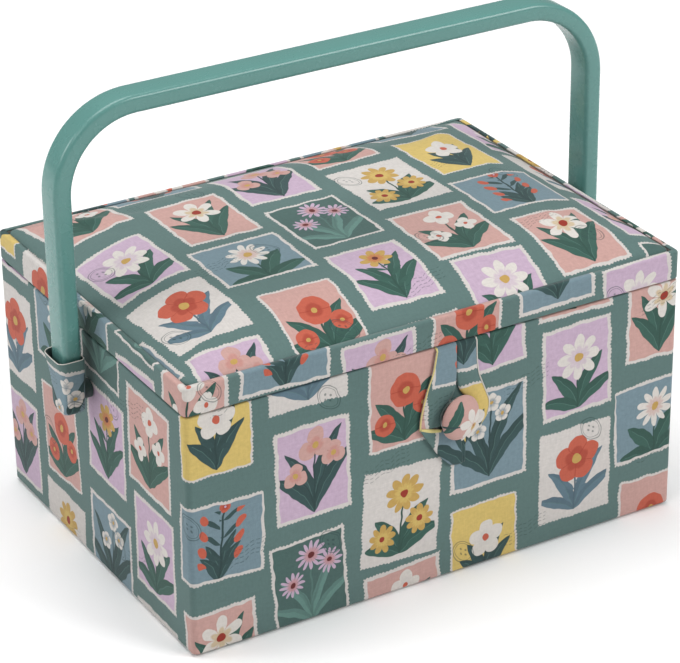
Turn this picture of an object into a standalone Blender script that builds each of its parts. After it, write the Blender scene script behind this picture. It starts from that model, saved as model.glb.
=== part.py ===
"""Sewing basket: a cloth-covered box with a padded lid, a bail handle and a loop-and-button closure.

Metres, +Z up. The origin is the middle of the base, on the surface that the basket stands on. +X runs
along the front, to the right of someone facing it, and the front is at -Y. An inset is a distance
inwards from the outer face of the cloth on the walls, in plan.
"""

import math

import bmesh
import bpy
from mathutils import Matrix, Vector

MM = 0.001

# Layers of a covered wall, from the printed cloth inwards
CLOTH = 0.8 * MM
BOARD = 3 * MM
LINING = 0.8 * MM
GAP = 0.3 * MM  # between pieces that touch
OVERRUN = 5 * MM  # how far a cutter runs past what it cuts

# The box
BODY_WIDTH = 320 * MM
BODY_DEPTH = 233 * MM
BODY_HEIGHT = 149 * MM  # top of the cloth folded over the walls
CORNER_RADIUS = 3.5 * MM  # upright corners, over the cloth
FOOT_ROUND = 1.5 * MM  # bottom outer edge of the cloth
FOLD_ROUND = 0.7 * MM  # outer edges where cloth folds over a board
BASE_COVER = 1.2 * MM  # panel that the basket stands on
BASE_COVER_INSET = 5 * MM
BASE_COVER_RADIUS = 3 * MM
TURN_UNDER = 14 * MM  # how far the cloth turns under the box

# The lid's frame and panel
JOINT_GAP = 0.9 * MM  # between the box's top and the lid's frame
RIM_HEIGHT = 17.1 * MM
RIM_BOARD = 2.4 * MM
LID_BOARD = 2.4 * MM
PANEL_DROP = 1.8 * MM  # the lid's board lies this far below the frame's top
PANEL_TURN_UNDER = 12 * MM  # how far the lid's top cloth turns under its board

# The padded top
PAD_CORNER = 5 * MM
PAD_SHOULDER = 45 * MM  # width of the sloping edge, in plan
PAD_RISE = 13.5 * MM  # height that the sloping edge climbs
PAD_DOME = 1.5 * MM  # further rise to the middle
SHOULDER_SHARES = (0, 0.07, 0.16, 0.28, 0.43, 0.65, 1)  # of the shoulder's width
MIDDLE_ROWS = 4  # rows of the padded top between its shoulders

# The handle: a strap bent into a bail, and the screws it turns on
HANDLE_RISE = 139 * MM  # top of the bar above the box's top
HANDLE_WIDTH = 18.5 * MM  # of the strap, along Y
HANDLE_THICKNESS = 10.8 * MM
HANDLE_STANDOFF = 7.7 * MM  # from the wall to the arm
HANDLE_CORNER = 52 * MM  # outer radius of the bends
HANDLE_EDGE = 2.4 * MM  # rounding of the strap's long edges
HANDLE_END_ROUND = 4 * MM  # rounding of the arms' lower corners
PIVOT_DROP = 33 * MM  # below the box's top
SCREW_RADIUS = 2 * MM
SCREW_CLEARANCE = 0.5 * MM
SCREW_HEAD_RADIUS = 3.8 * MM
SCREW_HEAD = 2.2 * MM
COUNTERBORE = 3 * MM
COUNTERBORE_RADIUS = 4.5 * MM
BUSH_RADIUS = 5.5 * MM
NUT_RADIUS = 4.5 * MM
NUT_LENGTH = 5 * MM
NUT_BORE = 3.6 * MM
NUT_ROUND = 1 * MM

# The cloth sleeves on the handle's ends
SLEEVE_DROP = 8 * MM  # from the box's top to the mouth
SLEEVE_WALL = 1 * MM
SLEEVE_FLARE_HEIGHT = 22 * MM  # how far down the mouth's flare reaches
SLEEVE_FLARE_OUT = 3 * MM  # away from the box
SLEEVE_FLARE_IN = 0.6 * MM  # towards the box
SLEEVE_FLARE_SIDE = 1.5 * MM
SLEEVE_FLARE_ROUND = 3 * MM  # how much rounder the mouth is than the strap
SLEEVE_CLEARANCE = 0.6 * MM  # round the bush

# The closure: a folded cloth loop from the lid round a covered button
CLOSURE_X = 8 * MM  # the loop and the button sit a little right of the middle
LOOP_THICKNESS = 1.6 * MM
LOOP_TAB = 0.3 * MM  # cloth pressed flat between the box and the lid
LOOP_TAB_DEPTH = 3.6 * MM
LOOP_BAND = 13 * MM
LOOP_TOP_WIDTH = 26 * MM
LOOP_WIDTH = 46 * MM
LOOP_FOOT_WIDTH = 10 * MM
LOOP_CHEEK = 7 * MM  # height of the loop's upright part beside the button
LOOP_BELOW_BUTTON = 33 * MM  # from the button's middle to the loop's foot
LOOP_SLIT = 1.2 * MM  # between the two legs at the top
LOOP_SLIT_DROP = 10 * MM
LOOP_FOOT_SHARE = 1.3  # depth of the loop's foot, as a share of its band
BUTTON_DROP = 44 * MM  # below the box's top
BUTTON_RADIUS = 14 * MM
BUTTON_DEPTH = 8 * MM
BUTTON_EDGE = 2.2 * MM  # height of the rolled edge behind the dome
BUTTON_ROLL = 1.6 * MM  # how far the rolled edge draws in
BUTTON_RECESS_RADIUS = 11.6 * MM
BUTTON_RECESS = 1.6 * MM
SHANK_RADIUS = 1.6 * MM
SHANK_CLEARANCE = 0.4 * MM
SHANK_HEAD_RADIUS = 3.2 * MM
SHANK_HEAD = 1 * MM
WASHER_RADIUS = 8 * MM
WASHER = 1.2 * MM

# The cloth hinge along the back
HINGE_STRIP_HEIGHT = 26 * MM
HINGE_STRIP_END = 12 * MM  # from the basket's side to the strip's end

# The lift-out tray and the ledges that carry it
TRAY_DROP = 3 * MM  # below the box's top
TRAY_CLEARANCE = 1.5 * MM  # from the linings and from the nuts under it
TRAY_WALL = 1.6 * MM
TRAY_CORNER = 6 * MM
TRAY_CELL_CORNER = 4.5 * MM
TRAY_COLUMN_SHARES = (0, 0.28, 0.56, 1)  # edges of the columns across the tray
TRAY_SPLIT_COLUMNS = 2  # columns from the left that a cross wall divides
LEDGE_DEPTH = 5 * MM
LEDGE_HEIGHT = 6 * MM
LEDGE_END = 8 * MM

# What the lid carries inside
PINCUSHION_LENGTH = 74 * MM
PINCUSHION_WIDTH = 52 * MM
PINCUSHION_HEIGHT = 10.5 * MM
PINCUSHION_DRAW_IN = 2.5 * MM  # how far its sides pull in between the corners
PINCUSHION_CORNER_ROUND = 2 * MM
PINCUSHION_SIDE = 1.2 * MM  # height of its side before the crown begins
POCKET_WIDTH = 118 * MM
POCKET_THICKNESS = 1.4 * MM
POCKET_CORNER = 8 * MM
FITTING_MARGIN = 26 * MM  # from the pincushion and the pocket to the lid's frame, and between them
ELASTIC_WIDTH = 9 * MM
ELASTIC_THICKNESS = 2.6 * MM

# Fineness of the round shapes
CORNER_STEPS = 4
EDGE_STEPS = 2
BEND_STEPS = 9
END_STEPS = 3
TURN_STEPS = 20
BUTTON_STEPS = 28
DOME_STEPS = 6
LOOP_STEPS = 6
OFF_SQUARE = (math.sin(math.pi / TURN_STEPS), math.cos(math.pi / TURN_STEPS))  # half a step round
PINCUSHION_ROWS = 8
SHARP_ANGLE = math.radians(35)
WELD = 0.001 * MM

# Colour, roughness and metallic value of each finish
PRINTED_COTTON = ((0.12, 0.23, 0.21), 0.9, 0)
PLAIN_LINING = ((0.72, 0.45, 0.38), 0.9, 0)
GREY_BOARD = ((0.42, 0.36, 0.28), 0.85, 0)
HANDLE_PLASTIC = ((0.13, 0.33, 0.29), 0.4, 0)
TRAY_PLASTIC = ((0.78, 0.78, 0.74), 0.35, 0)
ZINC = ((0.6, 0.6, 0.6), 0.35, 1)
BUSH_PLASTIC = ((0.1, 0.2, 0.18), 0.5, 0)
BUTTON_CLOTH = ((0.72, 0.42, 0.38), 0.85, 0)
WADDING = ((0.85, 0.85, 0.82), 0.95, 0)
ELASTIC = ((0.8, 0.75, 0.66), 0.8, 0)

# Insets of the layers of a wall, and of the lid's frame
BOARD_INSET = CLOTH + GAP
LINING_INSET = BOARD_INSET + BOARD + GAP
CAVITY_INSET = LINING_INSET + LINING
RIM_INNER_INSET = BOARD_INSET + RIM_BOARD
RIM_LINING_INSET = RIM_INNER_INSET + GAP
PAD_INSET = RIM_INNER_INSET + GAP

# Heights of the layers
COVER_BOTTOM = BASE_COVER + GAP
BOARD_BOTTOM = COVER_BOTTOM + CLOTH + GAP
BASE_LINING_BOTTOM = BOARD_BOTTOM + BOARD + GAP
CAVITY_FLOOR = BASE_LINING_BOTTOM + LINING
BOARD_TOP = BODY_HEIGHT - CLOTH - GAP
LID_BOTTOM = BODY_HEIGHT + JOINT_GAP
RIM_TOP = LID_BOTTOM + RIM_HEIGHT
RIM_BOARD_BOTTOM = LID_BOTTOM + CLOTH + GAP
RIM_BOARD_TOP = RIM_TOP - CLOTH - GAP
LID_BOARD_TOP = RIM_TOP - PANEL_DROP
LID_BOARD_BOTTOM = LID_BOARD_TOP - LID_BOARD
PANEL_BOTTOM = LID_BOARD_BOTTOM - GAP - CLOTH
LID_LINING_BOTTOM = PANEL_BOTTOM - GAP - LINING
LID_CEILING = LID_LINING_BOTTOM - GAP

# Heights that follow the box's top
PIVOT_HEIGHT = BODY_HEIGHT - PIVOT_DROP
BUTTON_HEIGHT = BODY_HEIGHT - BUTTON_DROP
TRAY_TOP = BODY_HEIGHT - TRAY_DROP
TRAY_BOTTOM = PIVOT_HEIGHT + NUT_RADIUS + TRAY_CLEARANCE

# Places of the joints' axes
HINGE_Y = BODY_DEPTH / 2 + GAP + CLOTH / 2
HINGE_Z = BODY_HEIGHT + JOINT_GAP / 2
LOOP_Y = -(BODY_DEPTH / 2 + GAP + LOOP_THICKNESS / 2)


def clear_scene():
    """Remove every object that the file opened with."""
    for item in list(bpy.data.objects):
        bpy.data.objects.remove(item, do_unlink=True)


def material(name, colour, roughness, metallic):
    """A Principled material of one colour."""
    finish = bpy.data.materials.new(name)
    finish.use_nodes = True
    shader = finish.node_tree.nodes["Principled BSDF"]
    shader.inputs["Base Color"].default_value = (*colour, 1)
    shader.inputs["Roughness"].default_value = roughness
    shader.inputs["Metallic"].default_value = metallic
    finish.diffuse_color = (*colour, 1)
    return finish


def make(name, shape, finish):
    """The named piece with this shape, in its own material, shaded smooth where it is round."""
    bmesh.ops.recalc_face_normals(shape, faces=shape.faces)
    mesh = bpy.data.meshes.new(name)
    shape.to_mesh(mesh)
    shape.free()
    mesh.shade_smooth()
    mesh.set_sharp_from_angle(angle=SHARP_ANGLE)
    mesh.materials.append(material(name, *finish))
    piece = bpy.data.objects.new(name, mesh)
    bpy.context.scene.collection.objects.link(piece)
    return piece


def cutter(name, shape):
    """A hidden shape that others are cut with."""
    piece = make(name, shape, GREY_BOARD)
    piece.hide_render = True
    piece.display_type = "WIRE"
    return piece


def carve(piece, *tools, operation="DIFFERENCE"):
    """Cut a piece with each tool, or keep or add what the operation says."""
    for tool in tools:
        change = piece.modifiers.new(tool.name, "BOOLEAN")
        change.operation = operation
        change.solver = "EXACT"
        change.object = tool


def hang(empty, *pieces):
    """Parent pieces to the empty on their joint's axis, where they are."""
    for piece in pieces:
        piece.parent = empty
        piece.matrix_parent_inverse = Matrix.Translation(empty.location).inverted()


def axis_empty(name, place):
    """An empty on a joint's axis."""
    empty = bpy.data.objects.new(name, None)
    empty.location = place
    bpy.context.scene.collection.objects.link(empty)
    return empty


def plan_half(inset):
    """Half the width and half the depth of the basket's plan at an inset."""
    return BODY_WIDTH / 2 - inset, BODY_DEPTH / 2 - inset


def plan_radius(inset):
    """Corner radius of the plan at an inset."""
    return max(CORNER_RADIUS - inset, 0)


def rounded_rectangle(half_x, half_y, radius, steps=CORNER_STEPS):
    """Points of a rounded rectangle, anticlockwise, or its four corners if it isn't rounded."""
    corner_steps = steps if radius > 0 else 0
    points = []
    for turn in range(4):
        centre_x = (half_x - radius) * (1 if turn in (0, 3) else -1)
        centre_y = (half_y - radius) * (1 if turn < 2 else -1)
        for step in range(corner_steps + 1):
            share = step / corner_steps if corner_steps else 1 / 2
            angle = (turn + share) * math.pi / 2
            points.append((centre_x + radius * math.cos(angle), centre_y + radius * math.sin(angle)))
    return points


def loft(rings, closed=False):
    """A closed shape through rings of equally many points: its ends are capped, or joined up if closed."""
    shape = bmesh.new()
    loops = [[shape.verts.new(point) for point in ring] for ring in rings]
    pairs = list(zip(loops, loops[1:]))
    if closed:
        pairs.append((loops[-1], loops[0]))
    for below, above in pairs:
        for here in range(len(below)):
            after = (here + 1) % len(below)
            shape.faces.new((below[here], below[after], above[after], above[here]))
    if not closed:
        shape.faces.new(loops[0][::-1])
        shape.faces.new(loops[-1])
    return shape


def prism(half_x, half_y, radius, bottom, top, place=(0, 0), round_bottom=0, round_top=0):
    """An upright rounded block, its bottom and top outer edges rounded if asked."""
    levels = []
    for step in range(EDGE_STEPS if round_bottom else 0):
        angle = step / EDGE_STEPS * math.pi / 2
        levels.append((bottom + round_bottom * (1 - math.cos(angle)), round_bottom * (1 - math.sin(angle))))
    levels.append((bottom + round_bottom, 0))
    levels.append((top - round_top, 0))
    for step in range(1, EDGE_STEPS + 1 if round_top else 1):
        angle = step / EDGE_STEPS * math.pi / 2
        levels.append((top - round_top * (1 - math.sin(angle)), round_top * (1 - math.cos(angle))))
    rings = []
    for height, draw_in in levels:
        corner = max(radius - draw_in, 0) if radius else 0
        outline = rounded_rectangle(half_x - draw_in, half_y - draw_in, corner)
        rings.append([(place[0] + x, place[1] + y, height) for x, y in outline])
    return loft(rings)


def box(low, high):
    """A block between two corners."""
    middle = [(a + b) / 2 for a, b in zip(low, high)]
    half = [(b - a) / 2 for a, b in zip(low, high)]
    return prism(half[0], half[1], 0, low[2], high[2], place=(middle[0], middle[1]))


def lathe(profile, place, direction, across, steps=TURN_STEPS, closed=False):
    """A turned shape: the profile gives radii and distances from a place, in a direction."""
    shape = bmesh.new()
    direction, across = Vector(direction), Vector(across)
    points = [shape.verts.new(Vector(place) + direction * far + across * radius) for radius, far in profile]
    edges = [shape.edges.new(pair) for pair in zip(points, points[1:])]
    if closed:
        edges.append(shape.edges.new((points[-1], points[0])))
    bmesh.ops.spin(shape, geom=points + edges, cent=Vector(place), axis=direction,
                   angle=math.tau, steps=steps, use_merge=True)
    bmesh.ops.remove_doubles(shape, verts=shape.verts, dist=WELD)
    return shape


def drill(name, radius, place, direction, across, near, far):
    """A round cutter from near to far along a direction."""
    profile = [(0, far), (radius, far), (radius, near), (0, near)]
    return cutter(name, lathe(profile, place, direction, across))


# The box


def make_walls(holes):
    """The four wall boards, rounded to fit inside the cloth's corners."""
    half_x, half_y = plan_half(BOARD_INSET)
    guide = cutter("wall_guide", prism(half_x, half_y, plan_radius(BOARD_INSET), BOARD_BOTTOM, BOARD_TOP))
    low, high = BOARD_BOTTOM - OVERRUN, BOARD_TOP + OVERRUN
    far_x, far_y = half_x + OVERRUN, half_y + OVERRUN
    inner_x, inner_y = half_x - BOARD, half_y - BOARD
    side_y = inner_y - GAP
    spans = {
        "front_board": ((-far_x, -far_y, low), (far_x, -inner_y, high)),
        "back_board": ((-far_x, inner_y, low), (far_x, far_y, high)),
        "left_board": ((-far_x, -side_y, low), (-inner_x, side_y, high)),
        "right_board": ((inner_x, -side_y, low), (far_x, side_y, high)),
    }
    for name, (corner, opposite) in spans.items():
        wall = make(name, box(corner, opposite), GREY_BOARD)
        carve(wall, guide, operation="INTERSECT")
        carve(wall, *holes.get(name, ()))


def make_base():
    """The base board, the panel under it and the lining on it."""
    half_x, half_y = plan_half(LINING_INSET)
    make("base_board", prism(half_x, half_y, 0, BOARD_BOTTOM, BOARD_BOTTOM + BOARD), GREY_BOARD)
    make("lining_base", prism(half_x, half_y, 0, BASE_LINING_BOTTOM, CAVITY_FLOOR), PLAIN_LINING)
    half_x, half_y = plan_half(BASE_COVER_INSET)
    make("base_cover", prism(half_x, half_y, BASE_COVER_RADIUS, 0, BASE_COVER), PRINTED_COTTON)


def make_linings(holes):
    """The four wall linings, the side ones between the front and back ones."""
    outer_x, outer_y = plan_half(LINING_INSET)
    inner_x, inner_y = plan_half(CAVITY_INSET)
    side_y = inner_y - GAP
    low, high = CAVITY_FLOOR + GAP, BOARD_TOP
    spans = {
        "lining_front": ((-outer_x, -outer_y, low), (outer_x, -inner_y, high)),
        "lining_back": ((-outer_x, inner_y, low), (outer_x, outer_y, high)),
        "lining_left": ((-outer_x, -side_y, low), (-inner_x, side_y, high)),
        "lining_right": ((inner_x, -side_y, low), (outer_x, side_y, high)),
    }
    for name, (corner, opposite) in spans.items():
        carve(make(name, box(corner, opposite), PLAIN_LINING), *holes.get(name, ()))


def make_body_cover(holes):
    """Printed cloth round the walls, folded over their tops and turned under the box."""
    outer_x, outer_y = plan_half(0)
    cover = make("body_cover", prism(outer_x, outer_y, CORNER_RADIUS, COVER_BOTTOM, BODY_HEIGHT,
                                     round_bottom=FOOT_ROUND, round_top=FOLD_ROUND), PRINTED_COTTON)
    inner_x, inner_y = plan_half(CLOTH)
    inside = cutter("body_cover_inside", prism(inner_x, inner_y, plan_radius(CLOTH),
                                               COVER_BOTTOM + CLOTH, BODY_HEIGHT - CLOTH))
    mouth_x, mouth_y = plan_half(CAVITY_INSET)
    mouth = cutter("body_cover_mouth", prism(mouth_x, mouth_y, 0,
                                             BODY_HEIGHT - CLOTH - OVERRUN, BODY_HEIGHT + OVERRUN))
    under_x, under_y = plan_half(TURN_UNDER)
    under = cutter("body_cover_under", prism(under_x, under_y, 0,
                                             COVER_BOTTOM - OVERRUN, COVER_BOTTOM + CLOTH + OVERRUN))
    carve(cover, inside, mouth, under, *holes)


def tray_cells():
    """Middle and half size of each compartment, in plan."""
    half_x, half_y = plan_half(CAVITY_INSET + TRAY_CLEARANCE)
    cells = []
    for column, (start, end) in enumerate(zip(TRAY_COLUMN_SHARES, TRAY_COLUMN_SHARES[1:])):
        left = -half_x + TRAY_WALL / 2 + start * (2 * half_x - TRAY_WALL) + TRAY_WALL / 2
        right = -half_x + TRAY_WALL / 2 + end * (2 * half_x - TRAY_WALL) - TRAY_WALL / 2
        rows = [(-half_y + TRAY_WALL, half_y - TRAY_WALL)]
        if column < TRAY_SPLIT_COLUMNS:
            rows = [(-half_y + TRAY_WALL, -TRAY_WALL / 2), (TRAY_WALL / 2, half_y - TRAY_WALL)]
        for front, back in rows:
            middle, half = ((left + right) / 2, (front + back) / 2), ((right - left) / 2, (back - front) / 2)
            cells.append((middle, half))
    return cells


def make_tray(washer_drill):
    """The moulded tray and its compartments, and the ledges that carry it, clear of the button's washer."""
    half_x, half_y = plan_half(CAVITY_INSET + TRAY_CLEARANCE)
    tray = make("tray", prism(half_x, half_y, TRAY_CORNER, TRAY_BOTTOM, TRAY_TOP), TRAY_PLASTIC)
    for number, (middle, half) in enumerate(tray_cells()):
        cell = prism(half[0], half[1], TRAY_CELL_CORNER,
                     TRAY_BOTTOM + TRAY_WALL, TRAY_TOP + OVERRUN, place=middle)
        carve(tray, cutter(f"tray_cell_{number}", cell))
    cavity_x, cavity_y = plan_half(CAVITY_INSET)
    near, far = cavity_y - GAP - LEDGE_DEPTH, cavity_y - GAP
    reach = cavity_x - LEDGE_END
    high = TRAY_BOTTOM - GAP
    low = high - LEDGE_HEIGHT
    front = make("tray_ledge_front", box((-reach, -far, low), (reach, -near, high)), PLAIN_LINING)
    carve(front, washer_drill)
    make("tray_ledge_back", box((-reach, near, low), (reach, far, high)), PLAIN_LINING)


# The lid


def shoulder(distance):
    """Share of the rise that the padded edge has reached at a distance from its seam."""
    left = 1 - min(distance / PAD_SHOULDER, 1)
    return 1 - left * left


def pad_height(distance_x, distance_y, share_x, share_y):
    """Rise of the padded top over its seam: from distances to its edges and shares out from its middle."""
    dome = PAD_DOME * (1 - share_x * share_x) * (1 - share_y * share_y)
    return PAD_RISE * shoulder(distance_x) * shoulder(distance_y) + dome


def stations(half):
    """Places across the padded top, close together on the shoulders."""
    ends = [share * PAD_SHOULDER for share in SHOULDER_SHARES]
    reach = half - ends[-1]
    middle = [-reach + 2 * reach * row / (MIDDLE_ROWS + 1) for row in range(1, MIDDLE_ROWS + 1)]
    return [-half + end for end in ends] + middle + [half - end for end in reversed(ends)]


def round_corner(x, y, half_x, half_y, radius):
    """Draw a point of a rectangle into the rounded corner that it lies in."""
    out_x = abs(x) - (half_x - radius)
    out_y = abs(y) - (half_y - radius)
    if min(out_x, out_y) <= 0:
        return x, y
    share_x, share_y = out_x / radius, out_y / radius
    moved_x = half_x - radius + out_x * math.sqrt(1 - share_y * share_y / 2)
    moved_y = half_y - radius + out_y * math.sqrt(1 - share_x * share_x / 2)
    return math.copysign(moved_x, x), math.copysign(moved_y, y)


def pad_grid(inset):
    """Rows of points of the padded top, drawn in and lowered by an inset from the cloth's outer face."""
    half_x, half_y = plan_half(PAD_INSET + inset)
    radius = PAD_CORNER - inset
    rows = []
    for y in stations(half_y):
        row = []
        for x in stations(half_x):
            rise = pad_height(half_x - abs(x), half_y - abs(y), x / half_x, y / half_y)
            row.append((*round_corner(x, y, half_x, half_y, radius), RIM_TOP - inset + rise))
        rows.append(row)
    return rows


def edge_of(rows):
    """The outermost points of a grid, anticlockwise."""
    left = [row[0] for row in reversed(rows[1:-1])]
    right = [row[-1] for row in rows[1:-1]]
    return rows[0] + right + rows[-1][::-1] + left


def shrunk(ring, half_x, half_y, draw_in, height):
    """A ring drawn in towards the middle, at one height."""
    return [(x * (1 - draw_in / half_x), y * (1 - draw_in / half_y), height) for x, y, _ in ring]


def skinned(grids, rings):
    """A closed shape: the first grid, rings down from its edge, and the last grid or a flat cap."""
    shape = bmesh.new()
    edges = []
    for rows in grids:
        points = [[shape.verts.new(point) for point in row] for row in rows]
        for below, above in zip(points, points[1:]):
            for here in range(len(below) - 1):
                shape.faces.new((below[here], below[here + 1], above[here + 1], above[here]))
        edges.append(edge_of(points))
    loops = [edges[0]] + [[shape.verts.new(point) for point in ring] for ring in rings]
    if len(grids) == 1:
        shape.faces.new(loops[-1])
    else:
        loops.append(edges[1])
    for upper, lower in zip(loops, loops[1:]):
        for here in range(len(upper)):
            after = (here + 1) % len(upper)
            shape.faces.new((upper[here], upper[after], lower[after], lower[here]))
    return shape


def make_padded_top():
    """The wadding on the lid's board, and the printed cloth stretched over both and turned under."""
    inner = CLOTH + GAP
    rows = pad_grid(inner)
    half_x, half_y = plan_half(PAD_INSET + inner)
    foot = shrunk(edge_of(rows), half_x, half_y, 0, LID_BOARD_TOP + GAP)
    wadding = make("lid_wadding", skinned([rows], [foot]), WADDING)

    half_x, half_y = plan_half(PAD_INSET)
    outside, inside = pad_grid(0), pad_grid(CLOTH)
    outer, hem = edge_of(outside), PANEL_TURN_UNDER
    rings = [
        shrunk(outer, half_x, half_y, 0, PANEL_BOTTOM),
        shrunk(outer, half_x, half_y, hem, PANEL_BOTTOM),
        shrunk(outer, half_x, half_y, hem, PANEL_BOTTOM + CLOTH),
        shrunk(edge_of(inside), half_x, half_y, 0, PANEL_BOTTOM + CLOTH),
    ]
    cover = make("lid_top_cover", skinned([outside, inside], rings), PRINTED_COTTON)
    board_x, board_y = plan_half(PAD_INSET + inner)
    plate = prism(board_x, board_y, PAD_CORNER - inner, LID_BOARD_BOTTOM, LID_BOARD_TOP)
    board = make("lid_board", plate, GREY_BOARD)
    return wadding, cover, board


def make_rim():
    """The lid's frame boards, the printed cloth round them and their lining."""
    half_x, half_y = plan_half(BOARD_INSET)
    guide = cutter("rim_guide", prism(half_x, half_y, plan_radius(BOARD_INSET),
                                      RIM_BOARD_BOTTOM, RIM_BOARD_TOP))
    low, high = RIM_BOARD_BOTTOM - OVERRUN, RIM_BOARD_TOP + OVERRUN
    far_x, far_y = half_x + OVERRUN, half_y + OVERRUN
    inner_x, inner_y = half_x - RIM_BOARD, half_y - RIM_BOARD
    side_y = inner_y - GAP
    spans = {
        "rim_front_board": ((-far_x, -far_y, low), (far_x, -inner_y, high)),
        "rim_back_board": ((-far_x, inner_y, low), (far_x, far_y, high)),
        "rim_left_board": ((-far_x, -side_y, low), (-inner_x, side_y, high)),
        "rim_right_board": ((inner_x, -side_y, low), (far_x, side_y, high)),
    }
    pieces = []
    for name, (corner, opposite) in spans.items():
        rim = make(name, box(corner, opposite), GREY_BOARD)
        carve(rim, guide, operation="INTERSECT")
        pieces.append(rim)

    outer_x, outer_y = plan_half(0)
    cover = make("lid_rim_cover", prism(outer_x, outer_y, CORNER_RADIUS, LID_BOTTOM, RIM_TOP,
                                        round_bottom=FOLD_ROUND, round_top=FOLD_ROUND), PRINTED_COTTON)
    inner_x, inner_y = plan_half(CLOTH)
    inside = cutter("rim_cover_inside", prism(inner_x, inner_y, plan_radius(CLOTH),
                                              LID_BOTTOM + CLOTH, RIM_TOP - CLOTH))
    fold_x, fold_y = plan_half(RIM_INNER_INSET)
    top = cutter("rim_cover_top", prism(fold_x, fold_y, PAD_CORNER + GAP,
                                        RIM_TOP - CLOTH - OVERRUN, RIM_TOP + OVERRUN))
    under_x, under_y = plan_half(RIM_LINING_INSET + LINING)
    under = cutter("rim_cover_under", prism(under_x, under_y, 0,
                                            LID_BOTTOM - OVERRUN, LID_BOTTOM + CLOTH + OVERRUN))
    carve(cover, inside, top, under)

    lining_x, lining_y = plan_half(RIM_LINING_INSET)
    lining = make("rim_lining", prism(lining_x, lining_y, 0, RIM_BOARD_BOTTOM, LID_CEILING), PLAIN_LINING)
    hollow = cutter("rim_lining_inside", prism(under_x, under_y, 0,
                                               RIM_BOARD_BOTTOM - OVERRUN, LID_CEILING + OVERRUN))
    carve(lining, hollow)
    sheet = prism(lining_x, lining_y, 0, LID_LINING_BOTTOM, LID_LINING_BOTTOM + LINING)
    ceiling = make("lid_lining", sheet, PLAIN_LINING)
    return [*pieces, cover, lining, ceiling]


def pincushion_middle():
    """Distance of the pincushion's middle from the lid's, along the lid."""
    half_x, _ = plan_half(RIM_LINING_INSET)
    return -half_x + FITTING_MARGIN + PINCUSHION_LENGTH / 2


def pincushion_grid():
    """Rows of points of the pincushion: its crown hangs down, and its sides draw in between the corners."""
    half_x, half_y = PINCUSHION_LENGTH / 2, PINCUSHION_WIDTH / 2
    centre_x = pincushion_middle()
    crown = PINCUSHION_HEIGHT - PINCUSHION_SIDE
    rows = []
    for step_y in range(PINCUSHION_ROWS + 1):
        row = []
        for step_x in range(PINCUSHION_ROWS + 1):
            share_x = math.sin((step_x / PINCUSHION_ROWS - 1 / 2) * math.pi)
            share_y = math.sin((step_y / PINCUSHION_ROWS - 1 / 2) * math.pi)
            drawn_x = half_x - PINCUSHION_DRAW_IN * (1 - share_y * share_y)
            drawn_y = half_y - PINCUSHION_DRAW_IN * (1 - share_x * share_x)
            x, y = round_corner(share_x * drawn_x, share_y * drawn_y, half_x, half_y,
                                PINCUSHION_CORNER_ROUND)
            swell = math.sqrt((1 - share_x * share_x) * (1 - share_y * share_y))
            row.append((centre_x + x, y, LID_CEILING - PINCUSHION_SIDE - crown * math.sqrt(swell)))
        rows.append(row)
    return rows


def make_lid_fittings():
    """The pincushion, the pocket and its elastic, on the lid's lining."""
    rows = pincushion_grid()
    seat = [(x, y, LID_CEILING) for x, y, _ in edge_of(rows)]
    pincushion = make("pincushion", skinned([rows], [seat]), BUTTON_CLOTH)
    left = pincushion_middle() + PINCUSHION_LENGTH / 2 + FITTING_MARGIN
    right = plan_half(RIM_LINING_INSET)[0] - FITTING_MARGIN
    half_x, half_y = (right - left) / 2, POCKET_WIDTH / 2
    middle = ((left + right) / 2, (ELASTIC_WIDTH + GAP) / 2)
    low = LID_CEILING - POCKET_THICKNESS
    patch = prism(half_x, half_y, POCKET_CORNER, low, LID_CEILING, place=middle)
    pocket = make("lid_pocket", patch, PLAIN_LINING)
    mouth_y = middle[1] - half_y - GAP
    elastic = make("pocket_elastic", box((left, mouth_y - ELASTIC_WIDTH, LID_CEILING - ELASTIC_THICKNESS),
                                         (right, mouth_y, LID_CEILING)), ELASTIC)
    return pincushion, pocket, elastic


def make_hinge_strip():
    """The strip of cloth along the back that the lid turns on."""
    reach = BODY_WIDTH / 2 - HINGE_STRIP_END
    near = BODY_DEPTH / 2 + GAP
    half = HINGE_STRIP_HEIGHT / 2
    strip = box((-reach, near, HINGE_Z - half), (reach, near + CLOTH, HINGE_Z + half))
    make("hinge_strip", strip, PRINTED_COTTON)


# The handle


def arm_centre():
    """Distance from the middle of the basket to the middle of an arm's thickness."""
    return BODY_WIDTH / 2 + HANDLE_STANDOFF + HANDLE_THICKNESS / 2


def handle_bottom():
    """Height of the arms' lower ends."""
    return PIVOT_HEIGHT - HANDLE_WIDTH / 2


def end_levels(bottom, half_width, radius):
    """Heights and half widths of a strap's rounded end, from its bottom up."""
    levels = []
    for step in range(END_STEPS + 1):
        angle = step / END_STEPS * math.pi / 2
        levels.append((bottom + radius * (1 - math.cos(angle)), half_width - radius * (1 - math.sin(angle))))
    return levels


def make_handle():
    """The moulded strap: an arm on each side, two bends and the bar between them."""
    reach, half, corner = arm_centre(), HANDLE_THICKNESS / 2, HANDLE_CORNER - HANDLE_THICKNESS / 2
    top = BODY_HEIGHT + HANDLE_RISE - half
    left = [((-reach, height), (-1, 0), width)
            for height, width in end_levels(handle_bottom(), HANDLE_WIDTH / 2, HANDLE_END_ROUND)]
    for step in range(BEND_STEPS + 1):
        angle = math.pi - step / BEND_STEPS * math.pi / 2
        out = (math.cos(angle), math.sin(angle))
        centre = (-reach + corner, top - corner)
        left.append(((centre[0] + corner * out[0], centre[1] + corner * out[1]), out, HANDLE_WIDTH / 2))
    right = [((-x, z), (-out_x, out_z), width) for (x, z), (out_x, out_z), width in reversed(left)]
    rings = []
    for (x, z), (out_x, out_z), width in left + right:
        section = rounded_rectangle(half, width, HANDLE_EDGE, EDGE_STEPS)
        rings.append([(x + out_x * away, along, z + out_z * away) for away, along in section])
    return make("handle", loft(rings), HANDLE_PLASTIC)


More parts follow.
